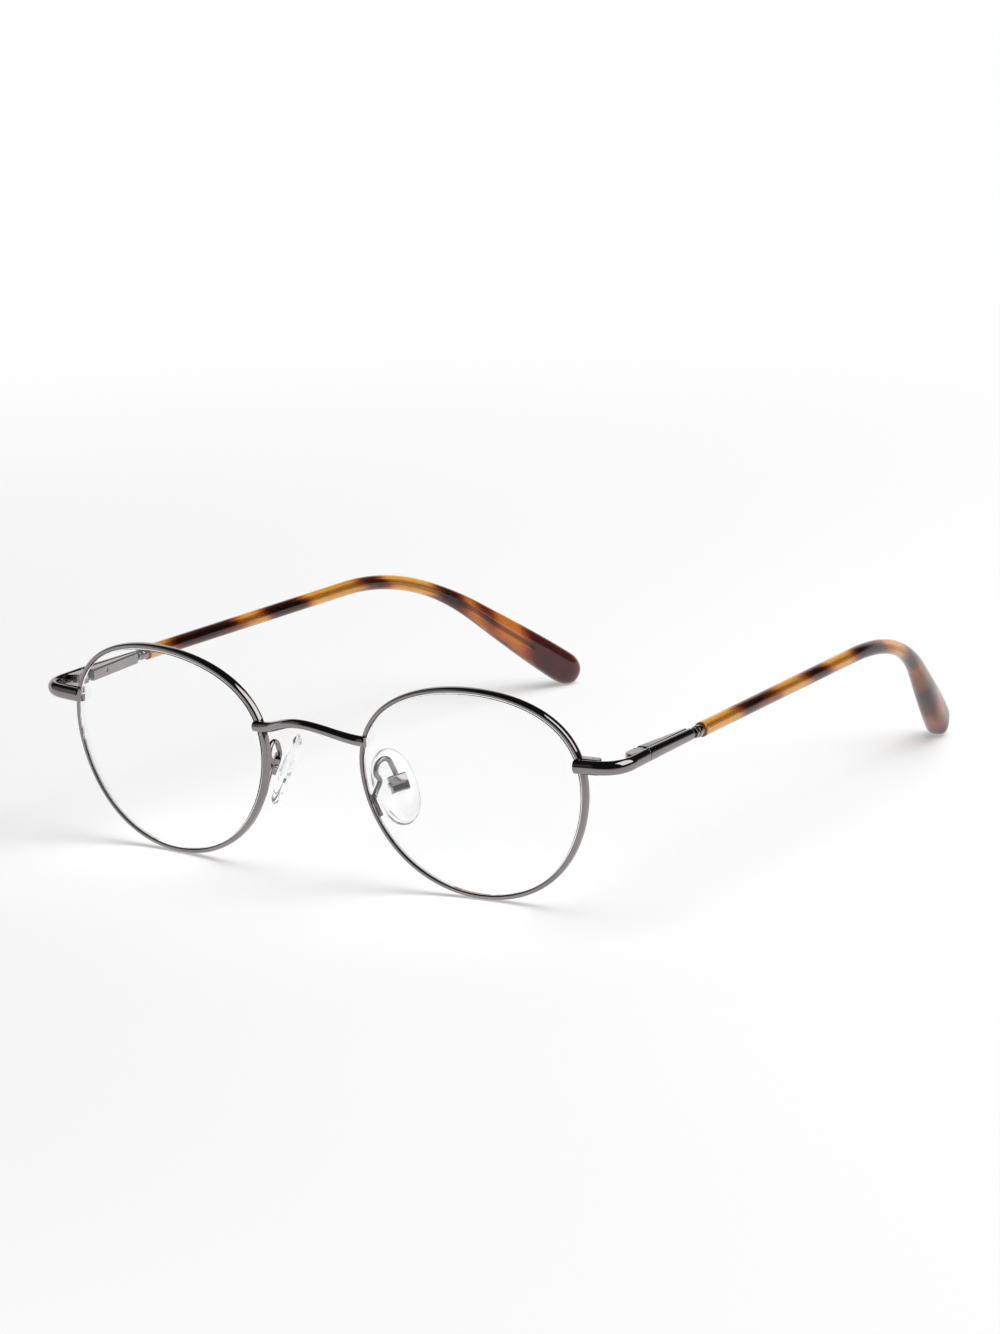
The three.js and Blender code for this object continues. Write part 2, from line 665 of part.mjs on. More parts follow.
function tipDrop(bendHeight) {
  let drop = Math.asin(bendHeight / TIP_LENGTH);
  for (let pass = 0; pass < SOLVE_PASSES; pass++) {
    drop = Math.asin((bendHeight - tipEndHeight(drop)) / TIP_LENGTH);
  }
  return drop;
}

// From the bend to the end of the ear tip, level with the ground and then turned into the hinge's frame
function tipVector() {
  const rise = radians(TEMPLE_RISE);
  const drop = tipDrop(hingePlace.z + LENGTH_TO_BEND * Math.sin(rise));
  const level = TIP_LENGTH * Math.cos(drop);
  const inward = radians(TIP_INWARD);
  const down = TIP_LENGTH * Math.sin(drop);
  const tip = new THREE.Vector3(-level * Math.sin(inward), level * Math.cos(inward), -down);
  return tip.applyAxisAngle(new THREE.Vector3(1, 0, 0), -rise);
}

// Centre line of the temple, from the butt joint to the end of the ear tip
function templeCurve() {
  const butt = new THREE.Vector3(barCentre, BUTT_GAP / 2, 0);
  const sleeve = new THREE.Vector3(barCentre, sleeveStart, 0);
  const bend = new THREE.Vector3(barCentre, LENGTH_TO_BEND, 0);
  const tip = bend.clone().add(tipVector());
  const bendStart = bend.clone().lerp(sleeve, BEND_REACH / bend.distanceTo(sleeve));
  const bendEnd = bend.clone().lerp(tip, BEND_REACH / TIP_LENGTH);
  const curve = new THREE.CurvePath();
  curve.add(new THREE.LineCurve3(butt, sleeve));
  curve.add(new THREE.LineCurve3(sleeve, bendStart));
  curve.add(new THREE.QuadraticBezierCurve3(bendStart, bend, bendEnd));
  curve.add(new THREE.LineCurve3(bendEnd, tip));
  return curve;
}

const temple = templeCurve();
const [neckEnd, bendFrom, bendTo, tipEnd] = temple.getCurveLengths();
const coreEnd = tipEnd - CORE_SHORT_OF_TIP;
const coreStations = [...steps(bendFrom, bendTo, BEND_STEPS), coreEnd];

function templeBarGeometry() {
  const front = halfRound(BAR_THICKNESS, BAR_HEIGHT);
  const rear = halfRound(BAR_THICKNESS, BAR_END_HEIGHT);
  const eased = halfRound(BAR_THICKNESS - 2 * BAR_ROUND, BAR_END_HEIGHT - 2 * BAR_ROUND);
  const round = (radius) => front.map((p) => p.clone().setLength(radius));
  const barLength = barEnd - BUTT_GAP / 2;
  const rings = [
    ringOn(temple, 0, front),
    ringOn(temple, barLength - BAR_ROUND, rear),
    ringOn(temple, barLength, eased),
    ringOn(temple, barLength, round(NECK_RADIUS)),
    ringOn(temple, neckEnd, round(NECK_RADIUS)),
    ringOn(temple, neckEnd, round(CORE_RADIUS)),
    ...coreStations.map((distance) => ringOn(temple, distance, round(CORE_RADIUS))),
  ];
  return loft(rings);
}

function collarGeometry() {
  const inner = NECK_RADIUS + SOLDER_GAP;
  const to = sleeveStart - COLLAR_GAP;
  const from = to - COLLAR_LENGTH;
  const ring = cut(rod(COLLAR_RADIUS, from, to), rod(inner, from - CUT_MARGIN, to + CUT_MARGIN));
  return ring.rotateX(-Math.PI / 2).translate(barCentre, 0, 0);
}

const paddleEnd = tipEnd - TIP_END_ROUND;

// Section of the sleeve at a distance along the temple: round, swelling to the paddle, then rounded off
function sleeveSection(distance) {
  const { lerp, smoothstep } = THREE.MathUtils;
  const growth = smoothstep(distance, paddleEnd - TIP_GROWTH, paddleEnd);
  const into = Math.max(0, distance - paddleEnd) / TIP_END_ROUND;
  const half = (size) => (lerp(SLEEVE_DIAMETER, size, growth) / 2) * Math.sqrt(1 - into * into);
  const bluntness = lerp(ELLIPSE_BLUNTNESS, TIP_BLUNTNESS, growth);
  return ellipse(half(TIP_THICKNESS), half(TIP_WIDTH), SECTION_STEPS, bluntness);
}

function sleeveGeometry() {
  const front = neckEnd + SOLDER_GAP;
  const bendStations = steps(bendFrom, bendTo, BEND_STEPS);
  const swellStations = steps(bendTo, paddleEnd, SWELL_STEPS).slice(1, -1);
  const outerStations = [front, ...bendStations, ...swellStations, ...roundedSteps(paddleEnd, tipEnd)];
  const outer = outerStations.map((distance) => ringOn(temple, distance, sleeveSection(distance)));
  const boreRadius = CORE_RADIUS + RUNNING_GAP;
  const boreStations = [front, ...coreStations.slice(0, -1), coreEnd + SLIDE_ROOM].reverse();
  const bore = boreStations.map((distance) => ringOn(temple, distance, ellipse(boreRadius, boreRadius)));
  return loft([...bore, ...outer]);
}

function hingeGroup(side) {
  const group = new THREE.Group();
  group.position.copy(hingePlace);
  group.rotation.copy(hingeTurn);
  const hingeScrewLength = hingeHeadBase + HINGE_HEIGHT / 2 + SCREW_END;
  const hingeScrewBody = screw(HINGE_SCREW_RADIUS, HINGE_SCREW_HEAD, hingeScrewLength);
  const hingeScrew = part(`hinge_screw_${side}`, hingeScrewBody, steel);
  hingeScrew.position.z = hingeHeadBase;
  group.add(
    part(`hinge_front_${side}`, hingeFrontGeometry(), gunmetal),
    hingeScrew,
    part(`hinge_tongue_${side}`, tongueGeometry(), steel),
    part(`spring_box_${side}`, springBoxGeometry(), gunmetal),
    part(`stop_pin_${side}`, stopPinGeometry(), steel),
    part(`hinge_spring_${side}`, springGeometry(), steel),
    part(`temple_bar_${side}`, templeBarGeometry(), gunmetal),
    part(`sleeve_collar_${side}`, collarGeometry(), gunmetal),
    part(`temple_sleeve_${side}`, sleeveGeometry(), tortoiseshell)
  );
  return group;
}

// Nose pad, drawn about its own centre: x towards its box, y across, z along the pad

const padFace = PAD_THICKNESS / 2;
const boxFace = padFace + PAD_SWING_GAP;
const pivotDepth = boxFace + PAD_PIVOT_DEPTH;
const tabEnd = pivotDepth + TAB_REACH;
const tabHalf = TAB_WIDTH / 2;
const padBoxBack = tabEnd + PAD_BOX_ROOM + PAD_BOX_WALL;
const padBoxHalf = tabHalf + RUNNING_GAP + PAD_BOX_WALL;
const padBoxRoof = PAD_MOUNT_UP + TAB_HEIGHT / 2 + PAD_BOX_ROOM;
const padBoxTop = padBoxRoof + PAD_BOX_WALL;
const padBoxBottom = PAD_MOUNT_UP - TAB_HEIGHT / 2 - PAD_BOX_ROOM - PAD_BOX_SKIRT;

const padGroupPlace = new THREE.Group();
padGroupPlace.position.copy(placedEyePoint(PAD_ANGLE, 0, 0));
padGroupPlace.position.add(new THREE.Vector3(PAD_OUT, PAD_BACK, PAD_UP));
padGroupPlace.rotation.set(radians(PAD_LEAN), radians(-PAD_FLARE), radians(-PAD_SPLAY), "ZYX");
padGroupPlace.updateMatrixWorld();

// The tab and plate inside the pad; the same shape with a gap all round makes the pad's pocket
function insertBody(gap) {
  const plateHalf = INSERT_THICKNESS / 2 + gap;
  const across = INSERT_WIDTH / 2 + gap;
  const long = INSERT_LENGTH / 2 + gap;
  const high = TAB_HEIGHT / 2 + gap;
  const tabAcross = tabHalf + gap;
  const plate = box([-plateHalf, plateHalf], [-across, across], [-long, long]);
  const tab = box([0, tabEnd + gap], [-tabAcross, tabAcross], [-high, high]);
  return join(plate, tab).translate(0, 0, PAD_MOUNT_UP);
}

function crossRod(radius, y0, y1) {
  return rod(radius, y0, y1).rotateX(-Math.PI / 2).translate(pivotDepth, 0, PAD_MOUNT_UP);
}

function insertGeometry() {
  return cut(insertBody(0), crossRod(PAD_SCREW_RADIUS + RUNNING_GAP, -PAD_WIDTH, PAD_WIDTH));
}

function nosePadGeometry() {
  const rings = steps(-1, 1, PAD_STEPS).map((step) => {
    const share = LAST_RING_SHARE * Math.sin((Math.PI / 2) * step);
    const narrow = Math.sqrt(1 - Math.abs(share) ** PAD_NARROWING);
    const thin = Math.sqrt(1 - Math.abs(share) ** PAD_THINNING);
    const section = ellipse(padFace * thin, (PAD_WIDTH / 2) * narrow, ROUND_STEPS);
    return section.map((p) => new THREE.Vector3(p.x, p.y, (PAD_LENGTH / 2 / LAST_RING_SHARE) * share));
  });
  return cut(loft(rings), insertBody(SOLDER_GAP));
}

function padBoxGeometry() {
  const body = box([boxFace, padBoxBack], [-padBoxHalf, padBoxHalf], [padBoxBottom, padBoxTop]);
  const inside = tabHalf + RUNNING_GAP;
  const roomDepth = [boxFace - CUT_MARGIN, padBoxBack - PAD_BOX_WALL];
  const room = box(roomDepth, [-inside, inside], [padBoxBottom - CUT_MARGIN, padBoxRoof]);
  return cut(body, room, crossRod(PAD_SCREW_RADIUS + SOLDER_GAP, -PAD_WIDTH, PAD_WIDTH));
}

function padScrewMesh(side) {
  const length = 2 * padBoxHalf + SOLDER_GAP + SCREW_END;
  const mesh = part(`pad_screw_${side}`, screw(PAD_SCREW_RADIUS, PAD_SCREW_HEAD, length), steel);
  mesh.rotation.x = Math.PI / 2;
  mesh.position.set(pivotDepth, -padBoxHalf - SOLDER_GAP, PAD_MOUNT_UP);
  return mesh;
}

function padGroup(side) {
  const group = new THREE.Group().copy(padGroupPlace);
  group.add(
    part(`nose_pad_${side}`, nosePadGeometry(), silicone),
    part(`pad_insert_${side}`, insertGeometry(), silicone),
    part(`pad_box_${side}`, padBoxGeometry(), gunmetal),
    padScrewMesh(side)
  );
  return group;
}

// Wire from the rim's back, drawn in to a neck, over in a round loop and down onto the roof of the pad box
function padArmRoute() {
  const depth = RIM_DEPTH / 2 + ARM_RADIUS + ARM_FOOT_GAP;
  const foot = ARM_FOOT_ANGLES.map((angle) => placedEyePoint(angle, 0, depth));
  const roofDepth = boxFace + ARM_RADIUS + RUNNING_GAP;
  const onBox = (lift) => padGroupPlace.localToWorld(new THREE.Vector3(roofDepth, 0, padBoxTop + lift));
  const landing = onBox(SOLDER_GAP);
  const toFoot = foot[foot.length - 1].clone().sub(landing).setZ(0).normalize();
  const beside = landing.clone().addScaledVector(toFoot.clone().cross(UP), ARM_LOOP_ASIDE);
  const fromLanding = (reach, rise) => beside.clone().addScaledVector(toFoot, reach).setZ(landing.z + rise);
  const loop = steps(radians(ARM_LOOP_FROM), radians(ARM_LOOP_TO), LOOP_STEPS).map((angle) => {
    const reach = ARM_LOOP_REACH + ARM_LOOP_RADIUS * Math.cos(angle);
    return fromLanding(reach, ARM_LOOP_RISE + ARM_LOOP_RADIUS * Math.sin(angle));
  });
  return [...foot, fromLanding(ARM_NECK_REACH, -ARM_NECK_DROP), ...loop, onBox(ARM_LANDING), landing];
}

function padArmGeometry() {
  const path = new THREE.CatmullRomCurve3(padArmRoute(), false, "centripetal");
  const wire = new THREE.Shape(ellipse(ARM_RADIUS, ARM_RADIUS, ARM_SIDES));
  return new THREE.ExtrudeGeometry(wire, { steps: ARM_STEPS, extrudePath: path });
}

function buildSide(side) {
  const group = new THREE.Group();
  const eye = new THREE.Group();
  eye.applyMatrix4(eyePlace);
  eye.add(part(`rim_${side}`, loft(rimRings(), sectionFaces(rimSection())), gunmetal));
  eye.add(part(`lens_${side}`, lensGeometry(), clearLens));
  group.add(eye, rimLockGroup(side), hingeGroup(side), padGroup(side));
  group.add(part(`end_piece_${side}`, endPieceGeometry(), gunmetal));
  group.add(part(`pad_arm_${side}`, padArmGeometry(), gunmetal));
  return group;
}

function eyeglasses() {
  const group = new THREE.Group();
  const left = buildSide("left");
  const right = buildSide("right");
  right.scale.x = -1;
  group.add(left, right, part("bridge", bridgeGeometry(), gunmetal));
  const extent = new THREE.Box3().setFromObject(group, true);
  const middle = extent.getCenter(new THREE.Vector3());
  group.position.set(-middle.x, -middle.y, -extent.min.z);
  return group;
}

export default eyeglasses();
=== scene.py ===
import json
from bisect import bisect_right
from math import asin, cos, hypot, pi, radians, sin, sqrt

import bmesh
import bpy
from mathutils import Matrix, Vector


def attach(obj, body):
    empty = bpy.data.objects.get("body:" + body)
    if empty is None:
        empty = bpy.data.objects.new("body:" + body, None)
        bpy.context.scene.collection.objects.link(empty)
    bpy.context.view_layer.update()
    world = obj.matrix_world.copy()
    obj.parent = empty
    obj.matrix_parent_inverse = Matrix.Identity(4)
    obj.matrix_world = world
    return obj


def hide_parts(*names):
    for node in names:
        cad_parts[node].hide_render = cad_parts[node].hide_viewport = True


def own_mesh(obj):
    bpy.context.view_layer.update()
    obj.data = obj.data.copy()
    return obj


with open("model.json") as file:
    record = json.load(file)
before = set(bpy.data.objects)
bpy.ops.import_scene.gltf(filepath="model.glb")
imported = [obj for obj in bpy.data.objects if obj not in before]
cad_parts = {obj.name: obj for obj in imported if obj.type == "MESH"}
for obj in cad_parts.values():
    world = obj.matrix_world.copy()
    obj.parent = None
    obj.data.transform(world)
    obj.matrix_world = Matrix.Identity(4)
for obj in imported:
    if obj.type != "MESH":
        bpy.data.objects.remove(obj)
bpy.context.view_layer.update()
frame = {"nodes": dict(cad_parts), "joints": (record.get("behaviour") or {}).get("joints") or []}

MM = 0.001
UP = Vector((0, 0, 1))
SIDES = {"left": 1, "right": -1}

# Sizes of the solids, in millimetres and degrees
LENS_WIDTH, LENS_HEIGHT, LENS_GAP = 47.4, 40.6, 22.2
LENS_THICKNESS, LENS_CURVE_RADIUS = 1.5, 130
TOP_FULLNESS, SHOULDER_FULLNESS, TEMPLE_LIFT = 0.125, 0.11, 0.029
RIM_WALL, RIM_DEPTH, RIM_SPLIT = 0.5, 1.6, 0.3
BEVEL_DEPTH, BEVEL_CLEARANCE, GROOVE_WIDTH = 0.5, 0.14, 0.84
FRONT_LEAN, FACE_WRAP = 5.9, 5.1
SOLDER_GAP, RUNNING_GAP = 0.08, 0.1
BRIDGE_ANGLE, BRIDGE_OVERLAP, BRIDGE_NOTCH = 156, 1, 0.95
BRIDGE_END_RADIUS, BRIDGE_MIDDLE_RADIUS = 1.04, 0.88
BRIDGE_ARCH, BRIDGE_BOW = 2.6, 3.2
LUG_ANGLE, LUG_OVERLAP, LUG_NOTCH, LUG_BEND = 21, 0.9, 0.25, 5.5
BAR_HEIGHT, BAR_THICKNESS, BAR_EDGE, BAR_END_HEIGHT = 2.7, 1.7, 0.6, 2.3
BLOCK_LENGTH, BLOCK_DEPTH, BLOCK_HEIGHT, BLOCK_START = 3.9, 2, 3, 0.6
RIM_SCREW_RADIUS, RIM_SCREW_HEAD = 0.45, 0.7
HINGE_SCREW_RADIUS, HINGE_SCREW_HEAD = 0.5, 0.7
PAD_SCREW_RADIUS, PAD_SCREW_HEAD = 0.25, 0.45
SCREW_HEAD_HEIGHT, SCREW_SLOT, SCREW_END = 0.35, 0.2, 0.2
HINGE_OUT, HINGE_BACK, HINGE_RISE = 6.1, 9.75, 0.62
KNUCKLE_RADIUS, HINGE_HEIGHT, TONGUE_HEIGHT, PLATE_LENGTH = 1, 2.3, 0.8, 4.3
BAR_INNER, BAR_CENTRE, BUTT_GAP = 1.1, 1.95, 0.12
BOX_START, BOX_END, BOX_HEIGHT, BOX_ROUND = 1.7, 16.18, 2.3, 0.4
BOX_FRONT_INNER, BOX_TAIL_INNER = -1.211, 0.5
CAVITY_IN, CAVITY_END, CAVITY_HALF = 0.02, 9.58, 0.68
PIN_REACH, PIN_RADIUS = 6, 0.28
SPRING_LENGTH, SPRING_RADIUS, SPRING_WIRE, SPRING_TURNS = 2.4, 0.2, 0.14, 5
SPRING_IN, SPRING_TRAVEL = 0.56, 1.2
TEMPLE_INWARD, TEMPLE_RISE = 4.1, 0.72
BAR_END, SLEEVE_START, LENGTH_TO_BEND = 16.58, 19.98, 100.2
BEND_REACH, TIP_LENGTH, TIP_INWARD = 20, 50.4, 17
NECK_RADIUS, CORE_RADIUS, CORE_SHORT_OF_TIP = 0.65, 0.42, 14
BORE_GAP, BORE_END_ROOM = 0.1, 0.3
SLEEVE_DIAMETER, TIP_WIDTH, TIP_THICKNESS = 2.9, 6.6, 4.8
TIP_GROWTH, TIP_END_ROUND, TIP_BLUNTNESS = 42, 4.5, 2.7
PAD_ANGLE, PAD_OUT, PAD_BACK, PAD_UP = 188, 0.9, 7.9, 0.1
PAD_SPLAY, PAD_FLARE, PAD_LEAN = 35, 21.6, 9.9
PAD_LENGTH, PAD_WIDTH, PAD_THICKNESS = 14.8, 8.6, 2.4
PAD_NARROWING, PAD_THINNING = 2.3, 4
PAD_BOX_FACE, PAD_BOX_BACK, PAD_BOX_HALF = 1.65, 3.22, 1.7
PAD_BOX_BOTTOM, PAD_BOX_TOP, PAD_BOX_ROOF, PAD_BOX_WALL = -1.25, 2.05, 1.65, 0.4
PAD_PIVOT_DEPTH, PAD_MOUNT_UP = 2.07, 0.5
ARM_RADIUS, ARM_FOOT_ANGLES = 0.5, (201, 196, 191)
ARM_ROOF_DEPTH, ARM_LANDING, ARM_NECK_REACH, ARM_NECK_DROP = 2.25, 0.5, 3.8, 0.5
ARM_LOOP_REACH, ARM_LOOP_ASIDE, ARM_LOOP_RISE, ARM_LOOP_RADIUS = 2.7, 0.3, 1.35, 2.1
ARM_LOOP_FROM, ARM_LOOP_TO, LOOP_STEPS = -10, 170, 4

# Finer forms that only the visible meshes have
ELLIPSE, RIM_BLUNTNESS = 2, 3.2
SOLDER_SINK = 0.03
END_ROUND = 0.25
EDGE_ROUND = 0.07
FLAT_STRIP = 0.04
BAR_EASE_SHARE = 0.2
DISH_RADIUS, DISH_DEPTH, SLEEVE_EDGE = 1.05, 0.45, 0.18
FOOT_WIDENING, FOOT_THINNING, FOOT_LENGTH, FOOT_BLEND = 1.35, 0.8, 3.4, 2.5
FOOT_INWARD = 0.5
PLATE_EDGE, PLATE_CORNER, CLOSE_FIT = 0.12, 0.5, 0.03
SEAT_CORNER = 0.2
COLLAR_RINGS = ((17.28, 18.03, 1), (18.2, 19.68, 1.15))
PAD_BOX_CORNER, PAD_BOX_FACETS = 0.4, (0.2, 0.25)
BEVEL_WIDTH = 0.09

# Mesh fineness
RIM_STEPS, RIM_SIDES = 240, 32
WIRE_STEPS, WIRE_SIDES = 110, 24
BAR_STEPS, BAR_ARC_STEPS, BAR_CORNER_STEPS = 24, 20, 6
SLEEVE_STEPS, SLEEVE_SIDES = 240, 36
PAD_STEPS, PAD_SIDES = 48, 40
COIL_STEPS, COIL_SIDES = 24, 10
ROUND_RINGS, ARC_STEPS, CORNER_STEPS = 6, 24, 6
BEND_STEPS, CURVE_STEPS, OUTLINE_STEPS = 160, 24, 720
BEVEL_SEGMENTS, WELD_REACH = 3, 0.001
SMOOTH_ANGLE = radians(35)
# Steps of the bridge's wire that each rounded end takes up
BRIDGE_END_STEPS = 2
# Rings across the faces of a lens, as shares of its outline
DOME_SCALES = (0.12, 0.3, 0.5, 0.7, 0.88, 0.97)
# Small steps for a curve's direction: in its own variable, and in millimetres
NUDGE, DIRECTION_REACH = 1e-4, 0.2
# Rounds in which the drop of the ear tips settles
DROP_ROUNDS = 6
# How far a cutting tool reaches out of a piece
PAST = 3


# Plain sums

def steps(start, end, count):
    return [start + (end - start) * k / count for k in range(count + 1)]


def lerp(start, end, share):
    return start + (end - start) * share


def smoothstep(value, low, high):
    share = min(1, max(0, (value - low) / (high - low)))
    return share * share * (3 - 2 * share)


def turned(degrees, axis):
    return Matrix.Rotation(radians(degrees), 4, axis)


def superellipse(half_x, half_y, bluntness, turn):
    c, s = cos(turn), sin(turn)
    power = 2 / bluntness
    x = half_x * abs(c) ** power * (1 if c >= 0 else -1)
    y = half_y * abs(s) ** power * (1 if s >= 0 else -1)
    return Vector((x, y))


def ring_section(half_x, half_y, sides, bluntness=ELLIPSE):
    return [superellipse(half_x, half_y, bluntness, 2 * pi * k / sides) for k in range(sides)]


def first_end(start, radius):
    """Rings of a rounded end, from its face on: where each lies, and how far it is drawn in."""
    turns = steps(0, pi / 2, ROUND_RINGS)
    rounded = [(start + radius * (1 - cos(t)), radius * (1 - sin(t))) for t in turns]
    return [(start, radius + FLAT_STRIP), *rounded]


def last_end(end, radius):
    """The same rings at the other end of a piece, up to its face."""
    return [(end - back, drawn_in) for back, drawn_in in reversed(first_end(0, radius))]


def both_ends(start, end, radius):
    return first_end(start, radius) + last_end(end, radius)


# Paths, read by the distance along them

class Path:
    def __init__(self, points):
        self.points = points
        self.reach = [0]
        for a, b in zip(points, points[1:]):
            self.reach.append(self.reach[-1] + (b - a).length)
        self.length = self.reach[-1]

    def point(self, distance):
        distance = min(self.length, max(0, distance))
        k = min(len(self.points) - 2, bisect_right(self.reach, distance) - 1)
        share = (distance - self.reach[k]) / (self.reach[k + 1] - self.reach[k])
        return self.points[k].lerp(self.points[k + 1], share)

    def direction(self, distance):
        ahead = self.point(distance + DIRECTION_REACH)
        return (ahead - self.point(distance - DIRECTION_REACH)).normalized()


def bend(start, corner, end, count=BEND_STEPS):
    """A curve from start to end that sets out towards the corner and comes in from it."""
    return [start.lerp(corner, t).lerp(corner.lerp(end, t), t) for t in steps(0, 1, count)]


def laid_across(centre, ahead, section):
    """A flat section set square to a direction, with its y upwards."""
    side = ahead.cross(UP).normalized()
    rise = side.cross(ahead).normalized()
    return [centre + side * p.x + rise * p.y for p in section]


def ring_on(path, distance, section):
    return laid_across(path.point(distance), path.direction(distance), section)


def catmull_rom(points, count):
    """Centripetal curve through the points, as the solids' wires follow."""
    ends = [2 * points[0] - points[1], *points, 2 * points[-1] - points[-2]]
    curve = []
    for p0, p1, p2, p3 in zip(ends, ends[1:], ends[2:], ends[3:]):
        d0, d1, d2 = [sqrt((b - a).length) for a, b in ((p0, p1), (p1, p2), (p2, p3))]
        m1 = ((p1 - p0) / d0 - (p2 - p0) / (d0 + d1) + (p2 - p1) / d1) * d1
        m2 = ((p2 - p1) / d1 - (p3 - p1) / (d1 + d2) + (p3 - p2) / d2) * d1
        for t in steps(0, 1, count)[:-1]:
            cubic = 2 * p1 - 2 * p2 + m1 + m2
            square = -3 * p1 + 3 * p2 - 2 * m1 - m2
            curve.append(cubic * t**3 + square * t**2 + m1 * t + p1)
    return curve + [points[-1]]


# Skins

def loft(rings, first_tip=None, last_tip=None):
    """Points and faces over rings of equal count; each end is a flat cap, or a fan to a tip."""
    count = len(rings[0])
    last = (len(rings) - 1) * count
    points = [p for ring in rings for p in ring]
    faces = []
    for start in range(0, last, count):
        for k in range(count):
            a, b = start + k, start + (k + 1) % count
            faces.append((a, b, b + count, a + count))
    for tip, start in ((first_tip, 0), (last_tip, last)):
        if tip is None:
            faces.append(tuple(range(start, start + count)))
            continue
        points.append(tip)
        top = len(points) - 1
        faces += [(start + k, start + (k + 1) % count, top) for k in range(count)]
    return points, faces


def tube(path, sections, across):
    """A wire of (distance, section) rings whose frame is carried along without twist."""
    rings = []
    for distance, section in sections:
        ahead = path.direction(distance)
        across = (across - ahead * across.dot(ahead)).normalized()
        rise = ahead.cross(across)
        centre = path.point(distance)
        rings.append([centre + across * p.x + rise * p.y for p in section])
    return loft(rings)


def set_smooth(mesh):
    mesh.shade_smooth()
    mesh.set_sharp_from_angle(angle=SMOOTH_ANGLE)


def add_object(name, data):
    made = bpy.data.objects.new(name, data)
    bpy.context.scene.collection.objects.link(made)
    return made


def mesh_object(name, skin, side="left", place=Matrix()):
    """An object in its place, from a skin in millimetres, mirrored for the right side."""
    points, faces = skin
    mirror = Matrix.Diagonal((SIDES[side], 1, 1, 1)) @ place
    mesh = bpy.data.meshes.new(name)
    mesh.from_pydata([(mirror @ p) * MM for p in points], [], faces)
    solid = bmesh.new()
    solid.from_mesh(mesh)
    bmesh.ops.recalc_face_normals(solid, faces=solid.faces)
    solid.to_mesh(mesh)
    solid.free()
    set_smooth(mesh)
    return add_object(name, mesh)


def notch(piece, tools):
    """Cuts the tools out of a piece and removes them."""
    for tool in tools:
        modifier = piece.modifiers.new("notch", "BOOLEAN")
        modifier.operation = "DIFFERENCE"
        modifier.solver = "EXACT"
        modifier.object = tool
    depsgraph = bpy.context.evaluated_depsgraph_get()
    mesh = bpy.data.meshes.new_from_object(piece.evaluated_get(depsgraph))
    if not mesh.polygons:
        raise ValueError(f"nothing is left of {piece.name}")
    piece.modifiers.clear()
    piece.data = mesh
    set_smooth(mesh)
    for tool in tools:
        bpy.data.objects.remove(tool)


def dress(piece, slot, body, node):
    """Gives a piece its finish and its body, in place of a solid."""
    piece.data.materials.clear()
    piece.data.materials.append(FINISHES[slot])
    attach(piece, body)
    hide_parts(node)


# Lens and rim

def raw_outline(angle):
    """The lens's outline before it is brought to its width and height."""
    c, s = cos(angle), sin(angle)
    across = c * (1 + TOP_FULLNESS * s + SHOULDER_FULLNESS * s * s)
    return Vector((across, s * (1 + TEMPLE_LIFT * c)))


def outline_scale():
    samples = [raw_outline(angle) for angle in steps(0, 2 * pi, OUTLINE_STEPS)]
    width = max(p.x for p in samples) - min(p.x for p in samples)
    height = max(p.y for p in samples) - min(p.y for p in samples)
    return LENS_WIDTH / width, LENS_HEIGHT / height


SCALE_X, SCALE_Y = outline_scale()


def outline_point(angle, offset):
    """A point of the lens's outline, moved outwards by the offset."""
    here, ahead = [Vector((p.x * SCALE_X, p.y * SCALE_Y)) for p in
                   (raw_outline(angle), raw_outline(angle + NUDGE))]
    along = (ahead - here).normalized()
    return here + Vector((along.y, -along.x)) * offset


# Mean depth of the lens's curve at its edge
EDGE_SAG = (LENS_WIDTH**2 + LENS_HEIGHT**2) / (16 * LENS_CURVE_RADIUS)


def eye_point(angle, offset, depth, scale=1):
    """A point about the lens: x outwards, y back from its mean edge, z up."""
    edge = outline_point(angle, offset) * scale
    sag = edge.length_squared / (2 * LENS_CURVE_RADIUS) - EDGE_SAG
    return Vector((edge.x, sag + depth, edge.y))


def eye_ring(offset, depth, scale=1):
    return [eye_point(angle, offset, depth, scale) for angle in steps(0, 2 * pi, RIM_STEPS)[:-1]]


def joint_place(name):
    """Where the frame has a joint, in millimetres."""
    joint = next(j for j in frame["joints"] if j["name"] == name)
    return Vector(joint["pos_m"]) / MM


# Where the left eye and the left hinge stand
EYE_MIDDLE = Matrix.Translation(((LENS_GAP + LENS_WIDTH) / 2, 0, 0))
LEANED = turned(FRONT_LEAN, "X") @ EYE_MIDDLE @ turned(FACE_WRAP, "Z")
HINGE_PLACE = joint_place("fold_left")
LUG_SEAT = HINGE_PLACE - Vector((HINGE_OUT, HINGE_BACK, HINGE_RISE))
EYE_PLACE = Matrix.Translation(LUG_SEAT - LEANED @ eye_point(radians(LUG_ANGLE), 0, 0)) @ LEANED
HINGE_TURN = turned(TEMPLE_INWARD, "Z") @ turned(TEMPLE_RISE, "X")
HINGE_FRAME = Matrix.Translation(HINGE_PLACE) @ HINGE_TURN


def placed_eye_point(degrees, offset, depth):
    return EYE_PLACE @ eye_point(radians(degrees), offset, depth)


def rim_skin():
    lip = asin((GROOVE_WIDTH / RIM_DEPTH) ** (RIM_BLUNTNESS / 2))
    turns = steps(lip - pi, pi - lip, RIM_SIDES)
    section = [superellipse(RIM_WALL, RIM_DEPTH / 2, RIM_BLUNTNESS, turn) for turn in turns]
    section.append(Vector((BEVEL_CLEARANCE, 0)))
    half_split = RIM_SPLIT / LENS_HEIGHT
    start = radians(LUG_ANGLE) + half_split
    angles = steps(start, start + 2 * (pi - half_split), RIM_STEPS)
    return loft([[eye_point(angle, p.x, p.y) for p in section] for angle in angles])


